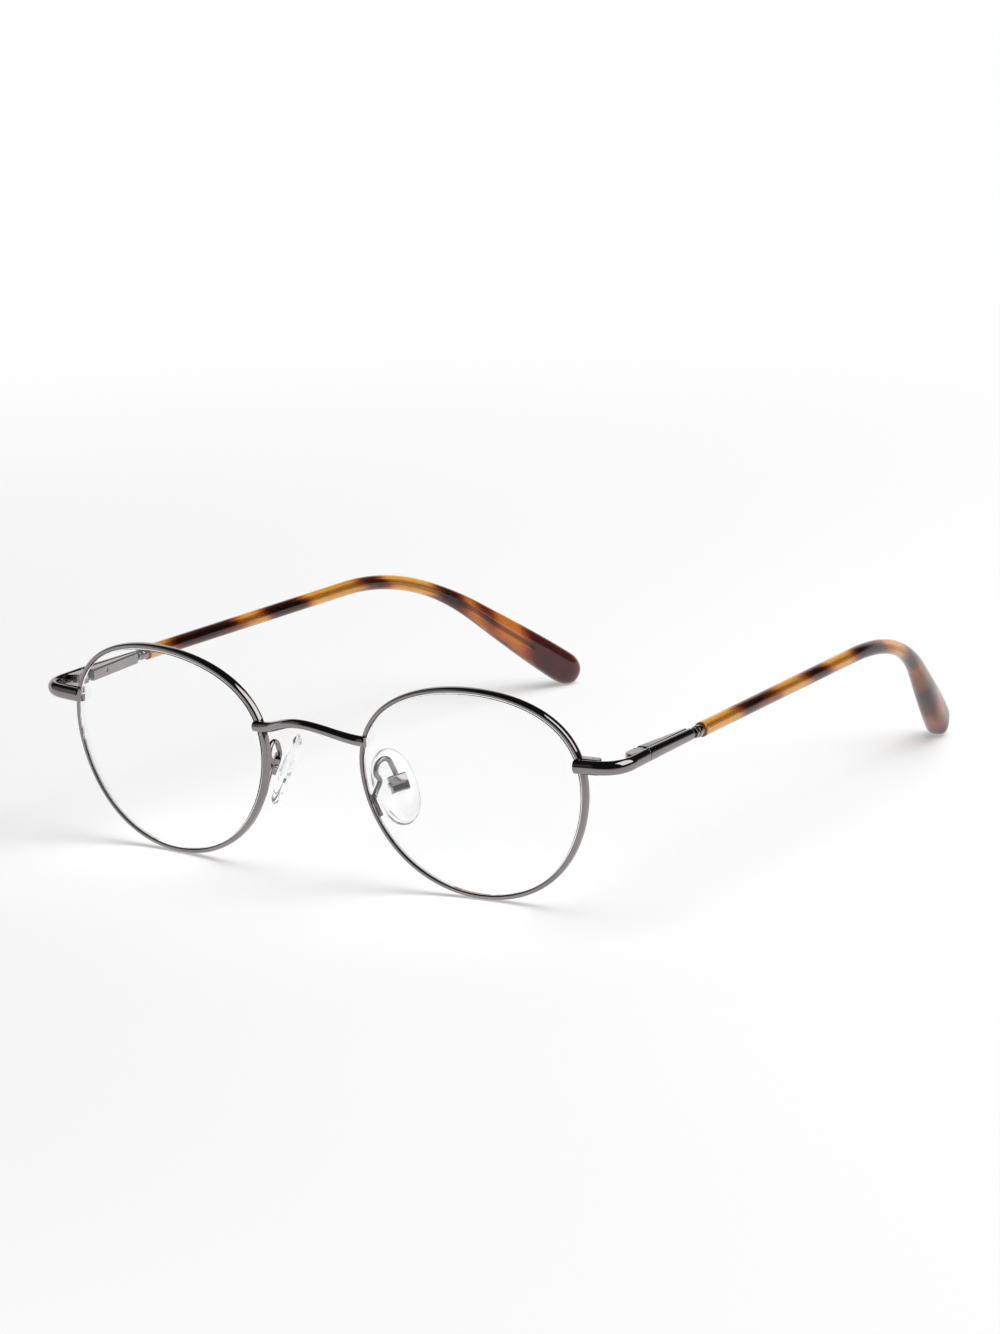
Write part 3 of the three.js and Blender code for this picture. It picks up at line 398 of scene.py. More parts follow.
def domed(offset, face, edge):
    """Two curved faces of one outline, and the edge between them."""
    front = [eye_ring(offset, -face, scale) for scale in DOME_SCALES]
    back = [eye_ring(offset, face, scale) for scale in reversed(DOME_SCALES)]
    rim = [eye_ring(*step) for step in edge]
    apex = [Vector((0, depth - EDGE_SAG, 0)) for depth in (-face, face)]
    return loft([*front, *rim, *back], *apex)


def lens_skin():
    face, bevel = LENS_THICKNESS / 2, GROOVE_WIDTH / 2
    land = -(BEVEL_DEPTH + BEVEL_CLEARANCE)
    edge = [(land, -face), (land, -bevel), (0, 0), (land, bevel), (land, face)]
    return domed(land, face, edge)


def eye_blank(side):
    """The room of the lens and the rim's groove, which bars soldered to the rim stay out of."""
    wall = BEVEL_CLEARANCE + SOLDER_GAP
    face = RIM_DEPTH / 2 - SOLDER_SINK
    skin = domed(wall, face, [(wall, -face), (wall, face)])
    return mesh_object("eye_blank", skin, side, EYE_PLACE)


# Bridge

def bridge_station(share):
    """The bridge's centre and radius, from -1 at its right end to 1 at its left end."""
    seat = placed_eye_point(BRIDGE_ANGLE, 0, 0)
    x = share * (seat.x + BRIDGE_OVERLAP)
    hump = cos(pi / 2 * min(1, abs(x) / seat.x)) ** 2
    forward = RIM_DEPTH / 2 + BRIDGE_END_RADIUS - BRIDGE_NOTCH + BRIDGE_BOW * hump
    radius = lerp(BRIDGE_END_RADIUS, BRIDGE_MIDDLE_RADIUS, sqrt(hump))
    return Vector((x, seat.y - forward, seat.z + BRIDGE_ARCH * hump)), radius


def bridge_skin():
    shares = steps(-1, 1, WIRE_STEPS)
    path = Path([bridge_station(share)[0] for share in shares])

    def end_ring(distance, drawn_in):
        radius = BRIDGE_END_RADIUS - drawn_in
        return ring_on(path, distance, ring_section(radius, radius, WIRE_SIDES))

    rings = [end_ring(*station) for station in first_end(0, END_ROUND)]
    for share in shares[BRIDGE_END_STEPS:-BRIDGE_END_STEPS]:
        centre, radius = bridge_station(share)
        ahead = (bridge_station(share + NUDGE)[0] - bridge_station(share - NUDGE)[0]).normalized()
        rings.append(laid_across(centre, ahead, ring_section(radius, radius, WIRE_SIDES)))
    rings += [end_ring(*station) for station in last_end(path.length, END_ROUND)]
    return loft(rings)


# End piece and temple bar

def half_round(thickness, height):
    """Flat on its inner side with eased corners, an arc on its outer side."""
    inner = -thickness / 2
    middle = inner + BAR_EDGE
    bulge = thickness / 2 - middle
    outer = []
    for turn in steps(-pi / 2, pi / 2, BAR_ARC_STEPS):
        outer.append(Vector((middle + bulge * cos(turn), height / 2 * sin(turn))))
    corner = [(middle, height / 2), (inner, height / 2), (inner, height * BAR_EASE_SHARE)]
    eased = bend(*[Vector(p) for p in corner], BAR_CORNER_STEPS)[1:]
    mirrored = [Vector((p.x, -p.y)) for p in reversed(eased)]
    return outer + eased + mirrored


def shrunk(section, drawn_in):
    """A section brought in by one depth across and upwards."""
    share_x = 1 - drawn_in / max(p.x for p in section)
    share_y = 1 - drawn_in / max(p.y for p in section)
    return [Vector((p.x * share_x, p.y * share_y)) for p in section]


OUTWARD = Vector((cos(radians(FACE_WRAP)), sin(radians(FACE_WRAP)), 0))
BACKWARD = Vector((-OUTWARD.y, OUTWARD.x, 0))


def lug_path():
    """The end piece's centre line, from the rim's front round to the butt joint."""
    forward = RIM_DEPTH / 2 + BAR_THICKNESS / 2 - LUG_NOTCH
    start = LUG_SEAT - OUTWARD * LUG_OVERLAP - BACKWARD * forward
    ahead = HINGE_TURN @ Vector((0, 1, 0))
    end = HINGE_FRAME @ Vector((BAR_CENTRE, -BUTT_GAP / 2, 0))
    to_end = end - start
    reach = (to_end.x * ahead.y - to_end.y * ahead.x) / (OUTWARD.x * ahead.y - OUTWARD.y * ahead.x)
    corner = start + OUTWARD * reach
    corner.z = (start.z + end.z) / 2
    bend_start = corner.lerp(start, LUG_BEND / (corner - start).length)
    bend_end = corner.lerp(end, LUG_BEND / (corner - end).length)
    return Path([start, *bend(bend_start, corner, bend_end), end])


def end_piece_skin():
    path = lug_path()
    bar = half_round(BAR_THICKNESS, BAR_HEIGHT)
    middle = steps(END_ROUND, path.length - EDGE_ROUND, WIRE_STEPS)[1:-1]
    stations = first_end(0, END_ROUND)
    stations += [(distance, 0) for distance in middle]
    stations += last_end(path.length, EDGE_ROUND)
    return loft([ring_on(path, distance, shrunk(bar, drawn_in)) for distance, drawn_in in stations])


# Temple, drawn about the hinge axis: x outward, y along, z up

def tip_end_height(drop):
    """How far the rounded tip's lowest point lies under its end."""
    reach = TIP_END_ROUND * sin(drop)
    return hypot(reach, TIP_WIDTH / 2 * cos(drop)) - reach


def tip_vector():
    """From the bend's corner to the tip's end, when the tip rests on the floor."""
    rise = radians(TEMPLE_RISE)
    bend_height = HINGE_PLACE.z + LENGTH_TO_BEND * sin(rise)
    drop = asin(bend_height / TIP_LENGTH)
    for _ in range(DROP_ROUNDS):
        drop = asin((bend_height - tip_end_height(drop)) / TIP_LENGTH)
    level = TIP_LENGTH * cos(drop)
    inward = radians(TIP_INWARD)
    tip = Vector((-level * sin(inward), level * cos(inward), -TIP_LENGTH * sin(drop)))
    return Matrix.Rotation(-rise, 3, "X") @ tip


def temple_path():
    butt = Vector((BAR_CENTRE, BUTT_GAP / 2, 0))
    corner = Vector((BAR_CENTRE, LENGTH_TO_BEND, 0))
    tip = corner + tip_vector()
    bend_start = corner - Vector((0, BEND_REACH, 0))
    bend_end = corner.lerp(tip, BEND_REACH / TIP_LENGTH)
    return Path([butt, *bend(bend_start, corner, bend_end), tip])


TEMPLE = temple_path()
NECK_END = SLEEVE_START - BUTT_GAP / 2
CORE_END = TEMPLE.length - CORE_SHORT_OF_TIP
PADDLE_END = TEMPLE.length - TIP_END_ROUND


def temple_bar_skin():
    """Bar, neck and core wire in one piece."""
    bar_length = BAR_END - BUTT_GAP / 2
    front = half_round(BAR_THICKNESS, BAR_HEIGHT)
    rear = half_round(BAR_THICKNESS, BAR_END_HEIGHT)
    stations = [(d, shrunk(front, drawn_in)) for d, drawn_in in first_end(0, EDGE_ROUND)]
    for distance in steps(0, bar_length - END_ROUND, BAR_STEPS)[1:]:
        height = lerp(BAR_HEIGHT, BAR_END_HEIGHT, distance / bar_length)
        stations.append((distance, half_round(BAR_THICKNESS, height)))
    stations += [(d, shrunk(rear, drawn_in)) for d, drawn_in in last_end(bar_length, END_ROUND)]
    neck, core = [[p.normalized() * radius for p in rear] for radius in (NECK_RADIUS, CORE_RADIUS)]
    stations += [(bar_length, neck), (NECK_END, neck)]
    stations += [(d, core) for d in steps(NECK_END, CORE_END, WIRE_STEPS)]
    return loft([ring_on(TEMPLE, *station) for station in stations])


def sleeve_section(distance, drawn_in=0):
    """Round at first, then growing into the paddle, whose end is rounded."""
    growth = smoothstep(distance, PADDLE_END - TIP_GROWTH, PADDLE_END)
    into = max(0, distance - PADDLE_END) / TIP_END_ROUND
    taper = sqrt(1 - min(1, into * into))
    half_x = lerp(SLEEVE_DIAMETER, TIP_THICKNESS, growth) / 2 * taper - drawn_in
    half_y = lerp(SLEEVE_DIAMETER, TIP_WIDTH, growth) / 2 * taper - drawn_in
    return ring_section(half_x, half_y, SLEEVE_SIDES, lerp(ELLIPSE, TIP_BLUNTNESS, growth))


def sleeve_stations():
    """(distance, section) from the blind end of the bore, out at the front, and back to the tip."""
    front = NECK_END + SOLDER_GAP
    radii = (CORE_RADIUS + BORE_GAP, DISH_RADIUS, SLEEVE_DIAMETER / 2 - SLEEVE_EDGE)
    bore, dish, face = [ring_section(radius, radius, SLEEVE_SIDES) for radius in radii]
    inside = steps(CORE_END + BORE_END_ROOM, front + DISH_DEPTH, WIRE_STEPS)
    stations = [(d, bore) for d in inside]
    stations += [(front, dish), (front, face)]
    # The dish and the face stand in for the first two rings of this end
    for distance, drawn_in in first_end(front, SLEEVE_EDGE)[2:]:
        stations.append((distance, sleeve_section(front, drawn_in)))
    outside = steps(front + SLEEVE_EDGE, PADDLE_END, SLEEVE_STEPS)[1:]
    for turn in steps(0, pi / 2, 2 * ROUND_RINGS)[1:-1]:
        outside.append(PADDLE_END + TIP_END_ROUND * sin(turn))
    stations += [(d, sleeve_section(d)) for d in outside]
    return stations


# Where the acetate is dark, in millimetres from the sleeve's front, and how dark
DARK_PATCHES = {
    "left": ((13, 30, 0.72), (41, 50, 1), (60, 75, 0.95),
             (84, 91, 0.9), (101, 112, 1), (119, 140, 0.95)),
    "right": ((6, 28, 0.9), (36, 48, 1), (65, 73, 0.95),
              (86, 95, 1), (99, 104, 0.9), (113, 130, 1)),
}
PATCH_EDGE, PATCH_SLANT = 4, 1.4


def darkness(side, place):
    """1 inside a dark patch and 0 outside, with soft edges that run aslant over the sleeve."""
    reach = place[0] + PATCH_SLANT * place[2]
    shades = []
    for start, end, deepest in DARK_PATCHES[side]:
        rise = smoothstep(reach, start - PATCH_EDGE, start + PATCH_EDGE)
        fall = smoothstep(reach, end - PATCH_EDGE, end + PATCH_EDGE)
        shades.append(deepest * rise * (1 - fall))
    return max(shades)


def sleeve_piece(side):
    """The sleeve, with each point's place and darkness for its material."""
    stations = sleeve_stations()
    skin = loft([ring_on(TEMPLE, d, section) for d, section in stations], None, TEMPLE.points[-1])
    piece = mesh_object(f"acetate_sleeve_{side}", skin, side, HINGE_FRAME)
    rest = [(d - NECK_END, p.x, p.y) for d, section in stations for p in section]
    rest.append((TEMPLE.length - NECK_END, 0, 0))
    grain = piece.data.attributes.new("grain", "FLOAT_VECTOR", "POINT")
    grain.data.foreach_set("vector", [value for place in rest for value in place])
    patch = piece.data.attributes.new("patch", "FLOAT", "POINT")
    patch.data.foreach_set("value", [darkness(side, place) for place in rest])
    return piece


# Nose pad and its arm

PAD_PLACE = placed_eye_point(PAD_ANGLE, 0, 0) + Vector((PAD_OUT, PAD_BACK, PAD_UP))
PAD_FRAME = (Matrix.Translation(PAD_PLACE) @ turned(-PAD_SPLAY, "Z")
             @ turned(-PAD_FLARE, "Y") @ turned(PAD_LEAN, "X"))


def pad_skin():
    rings = []
    for turn in steps(-pi / 2, pi / 2, PAD_STEPS)[1:-1]:
        share = sin(turn)
        narrow = sqrt(1 - abs(share) ** PAD_NARROWING)
        thin = sqrt(1 - abs(share) ** PAD_THINNING)
        section = ring_section(PAD_THICKNESS / 2 * thin, PAD_WIDTH / 2 * narrow, PAD_SIDES)
        rings.append([Vector((p.x, p.y, PAD_LENGTH / 2 * share)) for p in section])
    ends = [Vector((0, 0, PAD_LENGTH / 2 * way)) for way in (-1, 1)]
    return loft(rings, *ends)


def arm_path(foot):
    """From the rim's back, drawn in to a neck, over in a round loop and down onto the pad box."""
    above, seat, end = [PAD_FRAME @ Vector((ARM_ROOF_DEPTH, 0, PAD_BOX_TOP + lift))
                        for lift in (ARM_LANDING, SOLDER_GAP, -SOLDER_SINK)]
    to_foot = (foot[-1] - seat) * Vector((1, 1, 0))
    to_foot.normalize()
    beside = seat + to_foot.cross(UP) * ARM_LOOP_ASIDE

    def from_seat(reach, rise):
        return beside + to_foot * reach + UP * rise

    loop = []
    for turn in steps(radians(ARM_LOOP_FROM), radians(ARM_LOOP_TO), LOOP_STEPS):
        reach = ARM_LOOP_REACH + ARM_LOOP_RADIUS * cos(turn)
        loop.append(from_seat(reach, ARM_LOOP_RISE + ARM_LOOP_RADIUS * sin(turn)))
    neck = from_seat(ARM_NECK_REACH, -ARM_NECK_DROP)
    return Path(catmull_rom([*foot, neck, *loop, above, end], CURVE_STEPS))


def pad_arm_skin():
    """A round wire whose foot is flattened where it is soldered to the rim."""
    depth = RIM_DEPTH / 2 + ARM_RADIUS * FOOT_THINNING - SOLDER_SINK
    foot = [placed_eye_point(angle, -FOOT_INWARD, depth) for angle in ARM_FOOT_ANGLES]
    path = arm_path(foot)
    eased = first_end(0, ARM_RADIUS * FOOT_THINNING)
    stations = eased + [(d, 0) for d in steps(0, path.length, WIRE_STEPS) if d > eased[-1][0]]
    sections = []
    for distance, drawn_in in stations:
        flat = 1 - smoothstep(distance, FOOT_LENGTH, FOOT_LENGTH + FOOT_BLEND)
        wide = ARM_RADIUS * lerp(1, FOOT_WIDENING, flat) - drawn_in
        thin = ARM_RADIUS * lerp(1, FOOT_THINNING, flat) * wide / (wide + drawn_in)
        sections.append((distance, ring_section(wide, thin, WIRE_SIDES)))
    outwards = placed_eye_point(ARM_FOOT_ANGLES[0], 1, depth) - foot[0]
    return tube(path, sections, outwards)


# Small metal pieces

def eased_corner(before, corner, after, radius):
    start = corner + (before - corner).normalized() * radius
    end = corner + (after - corner).normalized() * radius
    return bend(start, corner, end, CORNER_STEPS)


def eased_outline(corners, radii):
    """A closed outline of straight runs whose corners are rounded."""
    outline = []
    for k, (corner, radius) in enumerate(zip(corners, radii)):
        outline += eased_corner(corners[k - 1], corner, corners[(k + 1) % len(corners)], radius)
    return outline


def inset(outline, depth):
    """A closed outline, drawn anticlockwise, brought in along its own normals."""
    drawn = []
    for before, here, after in zip(outline[-1:] + outline, outline, outline[1:] + outline[:1]):
        along = (after - before).normalized()
        drawn.append(here + Vector((-along.y, along.x)) * depth)
    return drawn


def slab(outline, low, high, edge):
    """A plate of one outline between two heights, with rounded edges."""
    rings = []
    for height, drawn_in in both_ends(low, high, edge):
        rings.append([Vector((*p, height)) for p in inset(outline, drawn_in)])
    return loft(rings)


def lathe(profile):
    """A solid turned about z from (height, radius) steps."""
    return loft([[Vector((*p, height)) for p in ring_section(radius, radius, WIRE_SIDES)]
                 for height, radius in profile])


def arc(centre, radius, start, end):
    return [centre + Vector((cos(t), sin(t))) * radius for t in steps(start, end, ARC_STEPS)]


def rod_tool(side, place, radius, low, high):
    return mesh_object("rod_tool", lathe([(low, radius), (high, radius)]), side, place)


def block_tool(side, place, across, along, tall):
    corners = [(across[i], along[j]) for i, j in ((0, 0), (1, 0), (1, 1), (0, 1))]
    skin = loft([[Vector((*corner, height)) for corner in corners] for height in tall])
    return mesh_object("block_tool", skin, side, place)


LUG_FRAME = Matrix.Translation(LUG_SEAT) @ turned(FACE_WRAP, "Z")
BLOCK_FRONT = LUG_NOTCH - RIM_DEPTH / 2 - SOLDER_SINK
BLOCK_MIDDLE = BLOCK_FRONT + BLOCK_DEPTH / 2
RIM_SCREW_REACH = BLOCK_LENGTH - BLOCK_DEPTH / 2
RIM_HEAD_BASE = BLOCK_HEIGHT / 2 - SCREW_HEAD_HEIGHT
RIM_SCREW_FRAME = LUG_FRAME @ Matrix.Translation((RIM_SCREW_REACH, BLOCK_MIDDLE, RIM_HEAD_BASE))
HINGE_HEAD_BASE = HINGE_HEIGHT / 2 - SCREW_HEAD_HEIGHT
HINGE_SCREW_FRAME = HINGE_FRAME @ Matrix.Translation((0, 0, HINGE_HEAD_BASE))
PAD_SCREW_FRAME = (PAD_FRAME @ Matrix.Translation((PAD_PIVOT_DEPTH, -PAD_BOX_HALF, PAD_MOUNT_UP))
                   @ turned(90, "X"))


def screw_seat(side, place, shank, head):
    """Tools for a screw's hole and the seat of its sunk head."""
    hole = rod_tool(side, place, shank + CLOSE_FIT, -PAST, PAST)
    return [hole, rod_tool(side, place, head + CLOSE_FIT, 0, PAST)]


def screw_piece(name, side, place, shank, head, length):
    """A slotted screw whose head stands on z = 0."""
    profile = [(-length, shank - PLATE_EDGE), (PLATE_EDGE - length, shank), (0, shank), (0, head)]
    for height, drawn_in in last_end(SCREW_HEAD_HEIGHT, PLATE_EDGE):
        profile.append((height, head - drawn_in))
    piece = mesh_object(name, lathe(profile), side, place)
    slot = (SCREW_HEAD_HEIGHT - SCREW_SLOT, PAST)
    notch(piece, [block_tool(side, place, (-PAST, PAST), (-SCREW_SLOT / 2, SCREW_SLOT / 2), slot)])
    return piece


def lock_piece(name, side, low, high):
    """One half of the rim lock, seated on the rim's wire and the end piece's back."""
    end = arc(Vector((RIM_SCREW_REACH, BLOCK_MIDDLE)), BLOCK_DEPTH / 2, -pi / 2, pi / 2)
    back = BLOCK_FRONT + BLOCK_DEPTH
    outline = [Vector((-BLOCK_START, BLOCK_FRONT)), *end, Vector((-BLOCK_START, back))]
    piece = mesh_object(name, slab(outline, low, high, PLATE_EDGE), side, LUG_FRAME)
    screw = screw_seat(side, RIM_SCREW_FRAME, RIM_SCREW_RADIUS, RIM_SCREW_HEAD)
    notch(piece, [eye_blank(side), *screw])
    return piece


def hinge_piece(name, side):
    """The front half of the hinge: a plate on the end piece, and two knuckles."""
    knuckle = arc(Vector((0, 0)), KNUCKLE_RADIUS, 0, pi)
    outer = BAR_INNER + SOLDER_SINK
    slope = [Vector((-KNUCKLE_RADIUS, KNUCKLE_RADIUS - PLATE_LENGTH)),
             Vector((outer - KNUCKLE_RADIUS, -PLATE_LENGTH))]
    seat = [Vector((outer, -PLATE_LENGTH)), Vector((outer, -BUTT_GAP))]
    outline = [*knuckle, *eased_corner(knuckle[-1], *slope, PLATE_CORNER),
               *eased_corner(slope[0], slope[1], seat[0], PLATE_CORNER), *seat]
    half = HINGE_HEIGHT / 2
    piece = mesh_object(name, slab(outline, -half, half, PLATE_EDGE), side, HINGE_FRAME)
    room = (TONGUE_HEIGHT + RUNNING_GAP) / 2
    tongue = rod_tool(side, HINGE_FRAME, KNUCKLE_RADIUS + RUNNING_GAP, -room, room)
    screw = screw_seat(side, HINGE_SCREW_FRAME, HINGE_SCREW_RADIUS, HINGE_SCREW_HEAD)
    notch(piece, [tongue, *screw])
    return piece


def spring_box_section(y):
    inner = lerp(BOX_FRONT_INNER, BOX_TAIL_INNER, (y - BOX_START) / (BOX_END - BOX_START))
    outer = BAR_INNER + SOLDER_SINK
    half = BOX_HEIGHT / 2
    corners = [Vector(p) for p in ((outer, -half), (outer, half), (inner, half), (inner, -half))]
    return eased_outline(corners, (SEAT_CORNER, SEAT_CORNER, BOX_ROUND, BOX_ROUND))


def spring_box_piece(name, side):
    """A box that thins to its tail, hollow for the tongue and bored for the stop pin."""
    rings = []
    for y, drawn_in in both_ends(BOX_START, BOX_END, EDGE_ROUND):
        section = inset(spring_box_section(y), drawn_in)
        rings.append([Vector((p.x, y, p.y)) for p in section])
    piece = mesh_object(name, loft(rings), side, HINGE_FRAME)
    tall = (-CAVITY_HALF, CAVITY_HALF)
    cavity = block_tool(side, HINGE_FRAME, (CAVITY_IN, PAST), (0, CAVITY_END), tall)
    across = Matrix.Translation((0, PIN_REACH, 0)) @ turned(90, "Y")
    notch(piece, [cavity, rod_tool(side, HINGE_FRAME @ across, PIN_RADIUS + SOLDER_GAP, -PAST, 0)])
    return piece


SPRING_SEAT = Vector((SPRING_IN, PIN_REACH + PIN_RADIUS + RUNNING_GAP, 0))


def coil_skin():
    coil = []
    for share in steps(0, 1, SPRING_TURNS * COIL_STEPS):
        turn = 2 * pi * SPRING_TURNS * share
        reach = lerp(SPRING_WIRE / 2, SPRING_LENGTH - SPRING_WIRE / 2, share)
        x, z = SPRING_RADIUS * cos(turn), SPRING_RADIUS * sin(turn)
        coil.append(SPRING_SEAT + Vector((x, reach, z)))
    path = Path(coil)
    wire = ring_section(SPRING_WIRE / 2, SPRING_WIRE / 2, COIL_SIDES)
    sections = [(d, wire) for d in steps(0, path.length, SPRING_TURNS * COIL_STEPS)]
    return tube(path, sections, Vector((0, 1, 0)))


def add_coil(side):
    """The hinge's spring, which in use the tongue presses onto the stop pin; here a coil of one
    fixed length.
    """
    coil = mesh_object(f"coil_spring_{side}", coil_skin(), side, HINGE_FRAME)
    dress(coil, "steel", f"temple_{side}", f"hinge_spring_{side}")
    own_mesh(coil)


def collar_piece(name, side):
    """Two turned rings on the temple's neck."""
    profile = []
    for start, end, radius in COLLAR_RINGS:
        for height, drawn_in in both_ends(start, end, PLATE_EDGE):
            profile.append((height, radius - drawn_in))
    neck = HINGE_FRAME @ Matrix.Translation((BAR_CENTRE, 0, 0)) @ turned(-90, "X")
    piece = mesh_object(name, lathe(profile), side, neck)
    notch(piece, [rod_tool(side, neck, NECK_RADIUS + CLOSE_FIT, BAR_END, BAR_END + 2 * PAST)])
    return piece


def pad_box_piece(name, side):
    """The folded box that holds the pad's tab, with a blunt ridge across its back."""
    lower, upper = PAD_BOX_FACETS
    middle = (PAD_BOX_BOTTOM + PAD_BOX_TOP) / 2
    corners = [Vector(p) for p in (
        (PAD_BOX_FACE, PAD_BOX_BOTTOM), (PAD_BOX_BACK - lower, PAD_BOX_BOTTOM),
        (PAD_BOX_BACK, middle),
        (PAD_BOX_BACK - upper, PAD_BOX_TOP), (PAD_BOX_FACE, PAD_BOX_TOP))]
    outline = eased_outline(corners, (SEAT_CORNER, *[PAD_BOX_CORNER] * 3, SEAT_CORNER))
    upright = PAD_FRAME @ turned(90, "X")
    piece = mesh_object(name, slab(outline, -PAD_BOX_HALF, PAD_BOX_HALF, EDGE_ROUND), side, upright)
    half = PAD_BOX_HALF - PAD_BOX_WALL
    deep = (0, PAD_BOX_BACK - PAD_BOX_WALL)
    room = block_tool(side, PAD_FRAME, deep, (-half, half), (-PAST, PAD_BOX_ROOF))
    hole = rod_tool(side, PAD_SCREW_FRAME, PAD_SCREW_RADIUS + CLOSE_FIT, -2 * PAST, PAST)
    notch(piece, [room, hole])
    return piece


# Finishes

# Noises: scale, detail and, where there is any, distortion
METAL_TONE, METAL_POLISH, METAL_GRAIN = (90, 4), (700, 5), (5000, 2)
PLASTIC_TONE, PLASTIC_POLISH = (120, 3), (260, 4)
ACETATE_CLOUD, ACETATE_POLISH = (1, 2, 0.3), (0.3, 2)
NOISE_RANGE, TONE_STOPS = (0.3, 0.7), (0.35, 0.65)
GRAIN_STRENGTH, GRAIN_DEPTH = 0.05, 0.00001
CLOUD_STRETCH, CLOUD_SHADE = (0.09, 0.2, 0.2), 0.3
ACETATE_IOR, ACETATE_CLARITY, ACETATE_ROUGHNESS = 1.49, 0.8, (0.02, 0.06)
# The acetate's colours, from clear to dark, and the millimetres over which it reddens
AMBER = [(0.1, (0.84, 0.43, 0.075)), (0.4, (0.66, 0.23, 0.03)), (0.68, (0.22, 0.05, 0.014)),
         (0.95, (0.045, 0.011, 0.007))]
RUSSET = [(0.1, (0.62, 0.2, 0.038)), (0.4, (0.44, 0.095, 0.02)), (0.68, (0.16, 0.03, 0.014)),
          (0.95, (0.065, 0.013, 0.012))]
RUSSET_FROM, RUSSET_TO = 80, 108
# The hard insert's index against that of the silicone round it
INSERT_IOR = 1.06


def wire_up(tree, node, inputs):
    """Links each input to another node's output, or sets it to a plain value."""
    for socket, value in inputs.items():
        if isinstance(value, bpy.types.NodeSocket):
            tree.links.new(value, node.inputs[socket])
        else:
            node.inputs[socket].default_value = value


def new_node(tree, kind, inputs, **settings):
    made = tree.nodes.new(f"ShaderNode{kind}")
    for name, value in settings.items():
        setattr(made, name, value)
    wire_up(tree, made, inputs)
    return made.outputs


def new_material(name):
    made = bpy.data.materials.new(name)
    made.use_nodes = True
    tree = made.node_tree
    return made, tree, tree.nodes["Principled BSDF"]


def object_place(tree):
    return new_node(tree, "TexCoord", {})["Object"]


def noise(tree, place, scale, detail, distortion=0):
    inputs = {"Vector": place, "Scale": scale, "Detail": detail, "Distortion": distortion}
    return new_node(tree, "TexNoise", inputs)["Fac"]


def ranged(tree, value, interpolation, *limits):
    inputs = dict(zip(("From Min", "From Max", "To Min", "To Max"), limits))
    inputs["Value"] = value
    return new_node(tree, "MapRange", inputs, interpolation_type=interpolation)["Result"]


def spread(tree, value, low, high):
    """Brings a noise's usual range to the range that is wanted."""
    return ranged(tree, value, "LINEAR", *NOISE_RANGE, low, high)


def graded(tree, value, start, end, low, high):
    """A value that goes smoothly from low to high between start and end."""
    return ranged(tree, value, "SMOOTHSTEP", start, end, low, high)


def component(tree, place, direction):
    """How far a place lies in a direction."""
    return new_node(tree, "VectorMath", {0: place, 1: direction}, operation="DOT_PRODUCT")["Value"]


def worked(tree, operation, first, second):
    """The result of two values, kept between 0 and 1."""
    inputs = {0: first, 1: second}
    return new_node(tree, "Math", inputs, operation=operation, use_clamp=True)["Value"]


def mixed(tree, share, first, second):
    return new_node(tree, "MixShader", {"Fac": share, 1: first, 2: second})["Shader"]


def blended(tree, share, first, second):
    made = tree.nodes.new("ShaderNodeMix")
    made.data_type = "RGBA"
    tree.links.new(share, made.inputs["Factor"])
    for name, colour in (("A", first), ("B", second)):
        socket = next(s for s in made.inputs if s.name == name and s.type == "RGBA")
        tree.links.new(colour, socket)
    return next(s for s in made.outputs if s.type == "RGBA")


def ramp(tree, value, stops):
    """A colour by value, from (place, colour) stops."""
    made = tree.nodes.new("ShaderNodeValToRGB")
    elements = made.color_ramp.elements
    while len(elements) < len(stops):
        elements.new(0.5)
    for element, (place, colour) in zip(elements, stops):
        element.position = place
        element.color = (*colour, 1)
    tree.links.new(value, made.inputs["Fac"])
    return made.outputs["Color"]


def toned(tree, place, mottle, dark, light):
    return ramp(tree, noise(tree, place, *mottle), list(zip(TONE_STOPS, (dark, light))))


def polished(tree, place, mottle, smoothest, roughest):
    return spread(tree, noise(tree, place, *mottle), smoothest, roughest)


def metal(name, dark, light, roughest):
    made, tree, shader = new_material(name)
    place = object_place(tree)
    grain = {"Height": noise(tree, place, *METAL_GRAIN), "Strength": GRAIN_STRENGTH,
             "Distance": GRAIN_DEPTH}
    wire_up(tree, shader, {
        "Metallic": 1,
        "Base Color": toned(tree, place, METAL_TONE, dark, light),
        "Roughness": polished(tree, place, METAL_POLISH, roughest / 2, roughest),
        "Normal": new_node(tree, "Bump", grain)["Normal"],
    })
    return made


def let_lamps_through(tree, shader):
    """Leaves the shader out for the rays that look for the lamps."""
    lamp_ray = new_node(tree, "LightPath", {})["Is Shadow Ray"]
    clear = new_node(tree, "BsdfTransparent", {})["BSDF"]
    surface = mixed(tree, lamp_ray, shader.outputs["BSDF"], clear)
    tree.links.new(surface, tree.nodes["Material Output"].inputs["Surface"])


def clear_plastic(name, dark, light, ior, smoothest, roughest):
    made, tree, shader = new_material(name)
    place = object_place(tree)
    wire_up(tree, shader, {
        "Transmission Weight": 1,
        "IOR": ior,
        "Base Color": toned(tree, place, PLASTIC_TONE, dark, light),
        "Roughness": polished(tree, place, PLASTIC_POLISH, smoothest, roughest),
    })
    let_lamps_through(tree, shader)
    return made


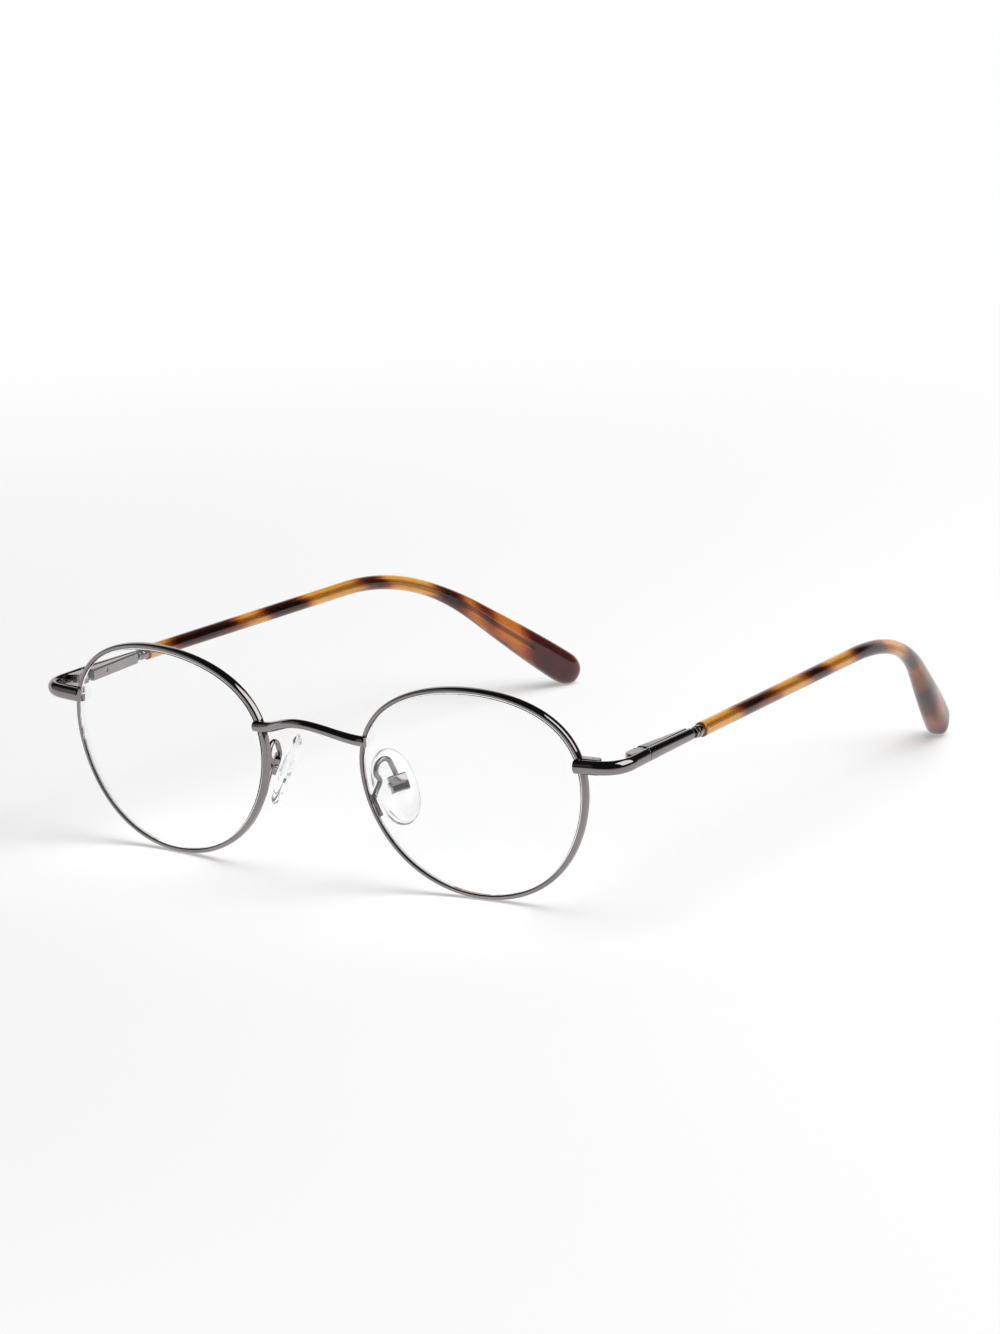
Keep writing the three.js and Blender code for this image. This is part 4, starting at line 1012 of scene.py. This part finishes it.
def tortoiseshell():
    """Amber acetate with soft dark clouds, redder towards the ear tips."""
    made, tree, shader = new_material("tortoiseshell")
    grain = new_node(tree, "Attribute", {}, attribute_name="grain")["Vector"]
    patch = new_node(tree, "Attribute", {}, attribute_name="patch")["Fac"]
    stretched = new_node(tree, "Mapping", {"Vector": grain, "Scale": CLOUD_STRETCH})["Vector"]
    cloud = spread(tree, noise(tree, stretched, *ACETATE_CLOUD), -CLOUD_SHADE, CLOUD_SHADE)
    shade = worked(tree, "ADD", patch, cloud)
    redness = graded(tree, component(tree, grain, (1, 0, 0)), RUSSET_FROM, RUSSET_TO, 0, 1)
    wire_up(tree, shader, {
        "Base Color": blended(tree, redness, ramp(tree, shade, AMBER), ramp(tree, shade, RUSSET)),
        "IOR": ACETATE_IOR,
        "Transmission Weight": ACETATE_CLARITY,
        "Roughness": polished(tree, grain, ACETATE_POLISH, *ACETATE_ROUGHNESS),
    })
    return made


# Metals: dark and light tone, roughest. Clear plastics: dark and light tone, index, roughness
FINISHES = {
    "gunmetal": metal("gunmetal", (0.235, 0.215, 0.212), (0.28, 0.26, 0.255), 0.1),
    "steel": metal("steel", (0.42, 0.41, 0.40), (0.52, 0.51, 0.50), 0.24),
    "lens": clear_plastic("lens", (0.985, 0.99, 0.99), (1, 1, 1), 1.5, 0, 0.012),
    "pad": clear_plastic("pad", (0.95, 0.955, 0.96), (0.985, 0.99, 0.99), 1.41, 0.04, 0.09),
    "insert": clear_plastic("insert", (0.95, 0.955, 0.96), (0.98, 0.985, 0.985),
                            INSERT_IOR, 0.06, 0.12),
    "tortoiseshell": tortoiseshell(),
}


# Pieces

def add_side(side):
    front, temple = "front", f"temple_{side}"
    rim = mesh_object(f"rim_wire_{side}", rim_skin(), side, EYE_PLACE)
    dress(rim, "gunmetal", front, f"rim_{side}")
    lens = mesh_object(f"lens_glass_{side}", lens_skin(), side, EYE_PLACE)
    dress(lens, "lens", front, f"lens_{side}")
    end_piece = mesh_object(f"end_bar_{side}", end_piece_skin(), side)
    notch(end_piece, [eye_blank(side)])
    dress(end_piece, "gunmetal", front, f"end_piece_{side}")
    bar = mesh_object(f"temple_metal_{side}", temple_bar_skin(), side, HINGE_FRAME)
    dress(bar, "gunmetal", temple, f"temple_bar_{side}")
    dress(sleeve_piece(side), "tortoiseshell", temple, f"temple_sleeve_{side}")
    pad = mesh_object(f"silicone_pad_{side}", pad_skin(), side, PAD_FRAME)
    dress(pad, "pad", f"pad_{side}", f"nose_pad_{side}")
    arm = mesh_object(f"pad_wire_{side}", pad_arm_skin(), side)
    dress(arm, "gunmetal", front, f"pad_arm_{side}")
    add_small_metal(side)


def add_small_metal(side):
    front, temple = "front", f"temple_{side}"
    top, split = BLOCK_HEIGHT / 2, RIM_SPLIT / 2
    halves = {"upper": (split, top), "lower": (-top, -split)}
    for half, heights in halves.items():
        lock = lock_piece(f"lock_{half}_{side}", side, *heights)
        dress(lock, "gunmetal", front, f"rim_lock_{half}_{side}")
    dress(hinge_piece(f"hinge_plate_{side}", side), "gunmetal", front, f"hinge_front_{side}")
    dress(pad_box_piece(f"pad_holder_{side}", side), "gunmetal", front, f"pad_box_{side}")
    dress(spring_box_piece(f"spring_case_{side}", side), "gunmetal", temple, f"spring_box_{side}")
    dress(collar_piece(f"neck_rings_{side}", side), "gunmetal", temple, f"sleeve_collar_{side}")
    add_coil(side)
    add_screws(side)


def add_screws(side):
    rim_grip = RIM_HEAD_BASE + BLOCK_HEIGHT / 2
    hinge_grip = HINGE_HEAD_BASE + HINGE_HEIGHT / 2
    screws = {
        "rim": (RIM_SCREW_FRAME, RIM_SCREW_RADIUS, RIM_SCREW_HEAD, rim_grip),
        "hinge": (HINGE_SCREW_FRAME, HINGE_SCREW_RADIUS, HINGE_SCREW_HEAD, hinge_grip),
        "pad": (PAD_SCREW_FRAME, PAD_SCREW_RADIUS, PAD_SCREW_HEAD, 2 * PAD_BOX_HALF),
    }
    for kind, (place, shank, head, grip) in screws.items():
        made = screw_piece(f"slotted_{kind}_{side}", side, place, shank, head, grip + SCREW_END)
        dress(made, "steel", "front", f"{kind}_screw_{side}")


def add_bridge():
    bridge = mesh_object("bridge_wire", bridge_skin())
    notch(bridge, [eye_blank(side) for side in SIDES])
    dress(bridge, "gunmetal", "front", "bridge")


# Solids that show as they are packed, with eased edges
NODE_FINISHES = {
    "hinge_tongue": "steel",
    "stop_pin": "steel",
    "pad_insert": "insert",
}


def dress_node(name, finish):
    node = frame["nodes"][name]
    node.data.materials.clear()
    node.data.materials.append(finish)
    if "custom_normal" in node.data.attributes:
        node.data.attributes.remove(node.data.attributes["custom_normal"])
    node.data.shade_smooth()
    weld = node.modifiers.new("weld", "WELD")
    weld.merge_threshold = WELD_REACH * MM
    bevel = node.modifiers.new("bevel", "BEVEL")
    bevel.width = BEVEL_WIDTH * MM
    bevel.segments = BEVEL_SEGMENTS
    bevel.limit_method = "ANGLE"
    bevel.angle_limit = SMOOTH_ANGLE
    bevel.harden_normals = True


# Studio

# The camera fitted to the photo, in its pixels, degrees and metres
PHOTO_HEIGHT = 1334
FOCAL_PIXELS = 7752.417
CAMERA_AZIMUTH, CAMERA_ELEVATION, CAMERA_ROLL = 34.954, 13.728, -1.652
CAMERA_DISTANCE = 1.501412
CAMERA_TARGET = Vector((-0.001065, -0.010653, 0.027374))


def add_camera():
    data = bpy.data.cameras.new("camera")
    data.lens = FOCAL_PIXELS * data.sensor_width / PHOTO_HEIGHT
    azimuth, elevation, roll = map(radians, (CAMERA_AZIMUTH, CAMERA_ELEVATION, CAMERA_ROLL))
    level = cos(elevation)
    back = Vector((sin(azimuth) * level, -cos(azimuth) * level, sin(elevation)))
    flat = Vector((cos(azimuth), sin(azimuth), 0))
    upright = back.cross(flat)
    across = flat * cos(roll) + upright * sin(roll)
    up = upright * cos(roll) - flat * sin(roll)
    turn = Matrix((across, up, back)).transposed().to_4x4()
    camera = add_object("camera", data)
    camera.matrix_world = Matrix.Translation(CAMERA_TARGET + back * CAMERA_DISTANCE) @ turn
    bpy.context.scene.camera = camera


def plainly_seen(tree):
    """1 for what the camera sees directly or straight through glass, 0 for all other rays."""
    rays = new_node(tree, "LightPath", {})
    through = worked(tree, "SUBTRACT", rays["Is Transmission Ray"], rays["Glossy Depth"])
    return worked(tree, "MAXIMUM", rays["Is Camera Ray"], through)


BEYOND = Vector((-sin(radians(CAMERA_AZIMUTH)), cos(radians(CAMERA_AZIMUTH)), 0))
WHITE = (1, 1, 1, 1)
STUDIO_DARK = 0.02
# Bright parts of the studio: direction, where each fades in and is full, brightness
STUDIO_PARTS = {
    "low backdrop": (BEYOND - UP, 0.2, 0.55, 1),
    "grey wall": (Vector((-0.8, -0.55, 0.2)), 0.82, 0.95, 0.3),
}


def add_world():
    """White where it is plainly seen, and a dim studio where it lights or is mirrored."""
    world = bpy.data.worlds.new("studio")
    world.use_nodes = True
    bpy.context.scene.world = world
    tree = world.node_tree
    direction = new_node(tree, "TexCoord", {})["Generated"]
    strength = None
    for towards, start, end, brightness in STUDIO_PARTS.values():
        reach = component(tree, direction, towards)
        part = graded(tree, reach, start, end, STUDIO_DARK, brightness)
        strength = worked(tree, "MAXIMUM", strength, part) if strength else part
    studio = tree.nodes["Background"]
    wire_up(tree, studio, {"Color": WHITE, "Strength": strength})
    white = new_node(tree, "Background", {"Color": WHITE})["Background"]
    surface = mixed(tree, plainly_seen(tree), studio.outputs["Background"], white)
    tree.links.new(surface, tree.nodes["World Output"].inputs["Surface"])


FLOOR_HALF, FLOOR_GREY = 6, 0.96
# The floor keeps its shading near the object and is plain white further out
SHADOW_NEAR, SHADOW_FAR = 0.12, 0.5
SHADOW_COVER = 0.35
# In reflections the floor is lit near the object and falls dark towards the camera
MIRRORED_NEAR, MIRRORED_FAR = 0.08, 0.4
MIRRORED_LIT, MIRRORED_DARK = 1, 0.04


def floor_material():
    made, tree, shader = new_material("floor")
    grey = (FLOOR_GREY, FLOOR_GREY, FLOOR_GREY, 1)
    wire_up(tree, shader, {"Base Color": grey, "Roughness": 1, "Specular IOR Level": 0})
    place = object_place(tree)
    white = new_node(tree, "Emission", {})["Emission"]
    distance = new_node(tree, "VectorMath", {0: place}, operation="LENGTH")["Value"]
    cover = graded(tree, distance, SHADOW_NEAR, SHADOW_FAR, SHADOW_COVER, 1)
    direct = plainly_seen(tree)
    seen = mixed(tree, worked(tree, "MULTIPLY", direct, cover), shader.outputs["BSDF"], white)
    forward = component(tree, place, -BEYOND)
    lit = graded(tree, forward, MIRRORED_NEAR, MIRRORED_FAR, MIRRORED_LIT, MIRRORED_DARK)
    mirrored = new_node(tree, "Emission", {"Strength": lit})["Emission"]
    glossy = new_node(tree, "LightPath", {})["Is Glossy Ray"]
    surface = mixed(tree, worked(tree, "SUBTRACT", glossy, direct), seen, mirrored)
    tree.links.new(surface, tree.nodes["Material Output"].inputs["Surface"])
    return made


def add_floor():
    mesh = bpy.data.meshes.new("floor")
    corners = [(-1, -1), (1, -1), (1, 1), (-1, 1)]
    mesh.from_pydata([(x * FLOOR_HALF, y * FLOOR_HALF, 0) for x, y in corners], [], [(0, 1, 2, 3)])
    mesh.materials.append(floor_material())
    floor = add_object("floor", mesh)


# Soft boxes: place, size, power, and whether the metal shows it
LAMPS = {
    "overhead": (Vector((0.15, 0.25, 1.1)), 0.9, 8, False),
    "right": (Vector((0.74, 0.24, 0.78)), 1, 9, True),
}


def add_lamps():
    for name, (place, size, power, mirrored) in LAMPS.items():
        data = bpy.data.lights.new(name, "AREA")
        data.shape = "SQUARE"
        data.size = size
        data.energy = power
        lamp = add_object(name, data)
        lamp.location = place
        lamp.rotation_mode = "QUATERNION"
        lamp.rotation_quaternion = place.to_track_quat("Z", "Y")
        lamp.visible_glossy = mirrored


add_camera()
add_world()
add_floor()
add_lamps()
add_bridge()
for side in SIDES:
    add_side(side)
    for stem, finish in NODE_FINISHES.items():
        dress_node(f"{stem}_{side}", FINISHES[finish])
bpy.context.scene.view_settings.view_transform = "Standard"
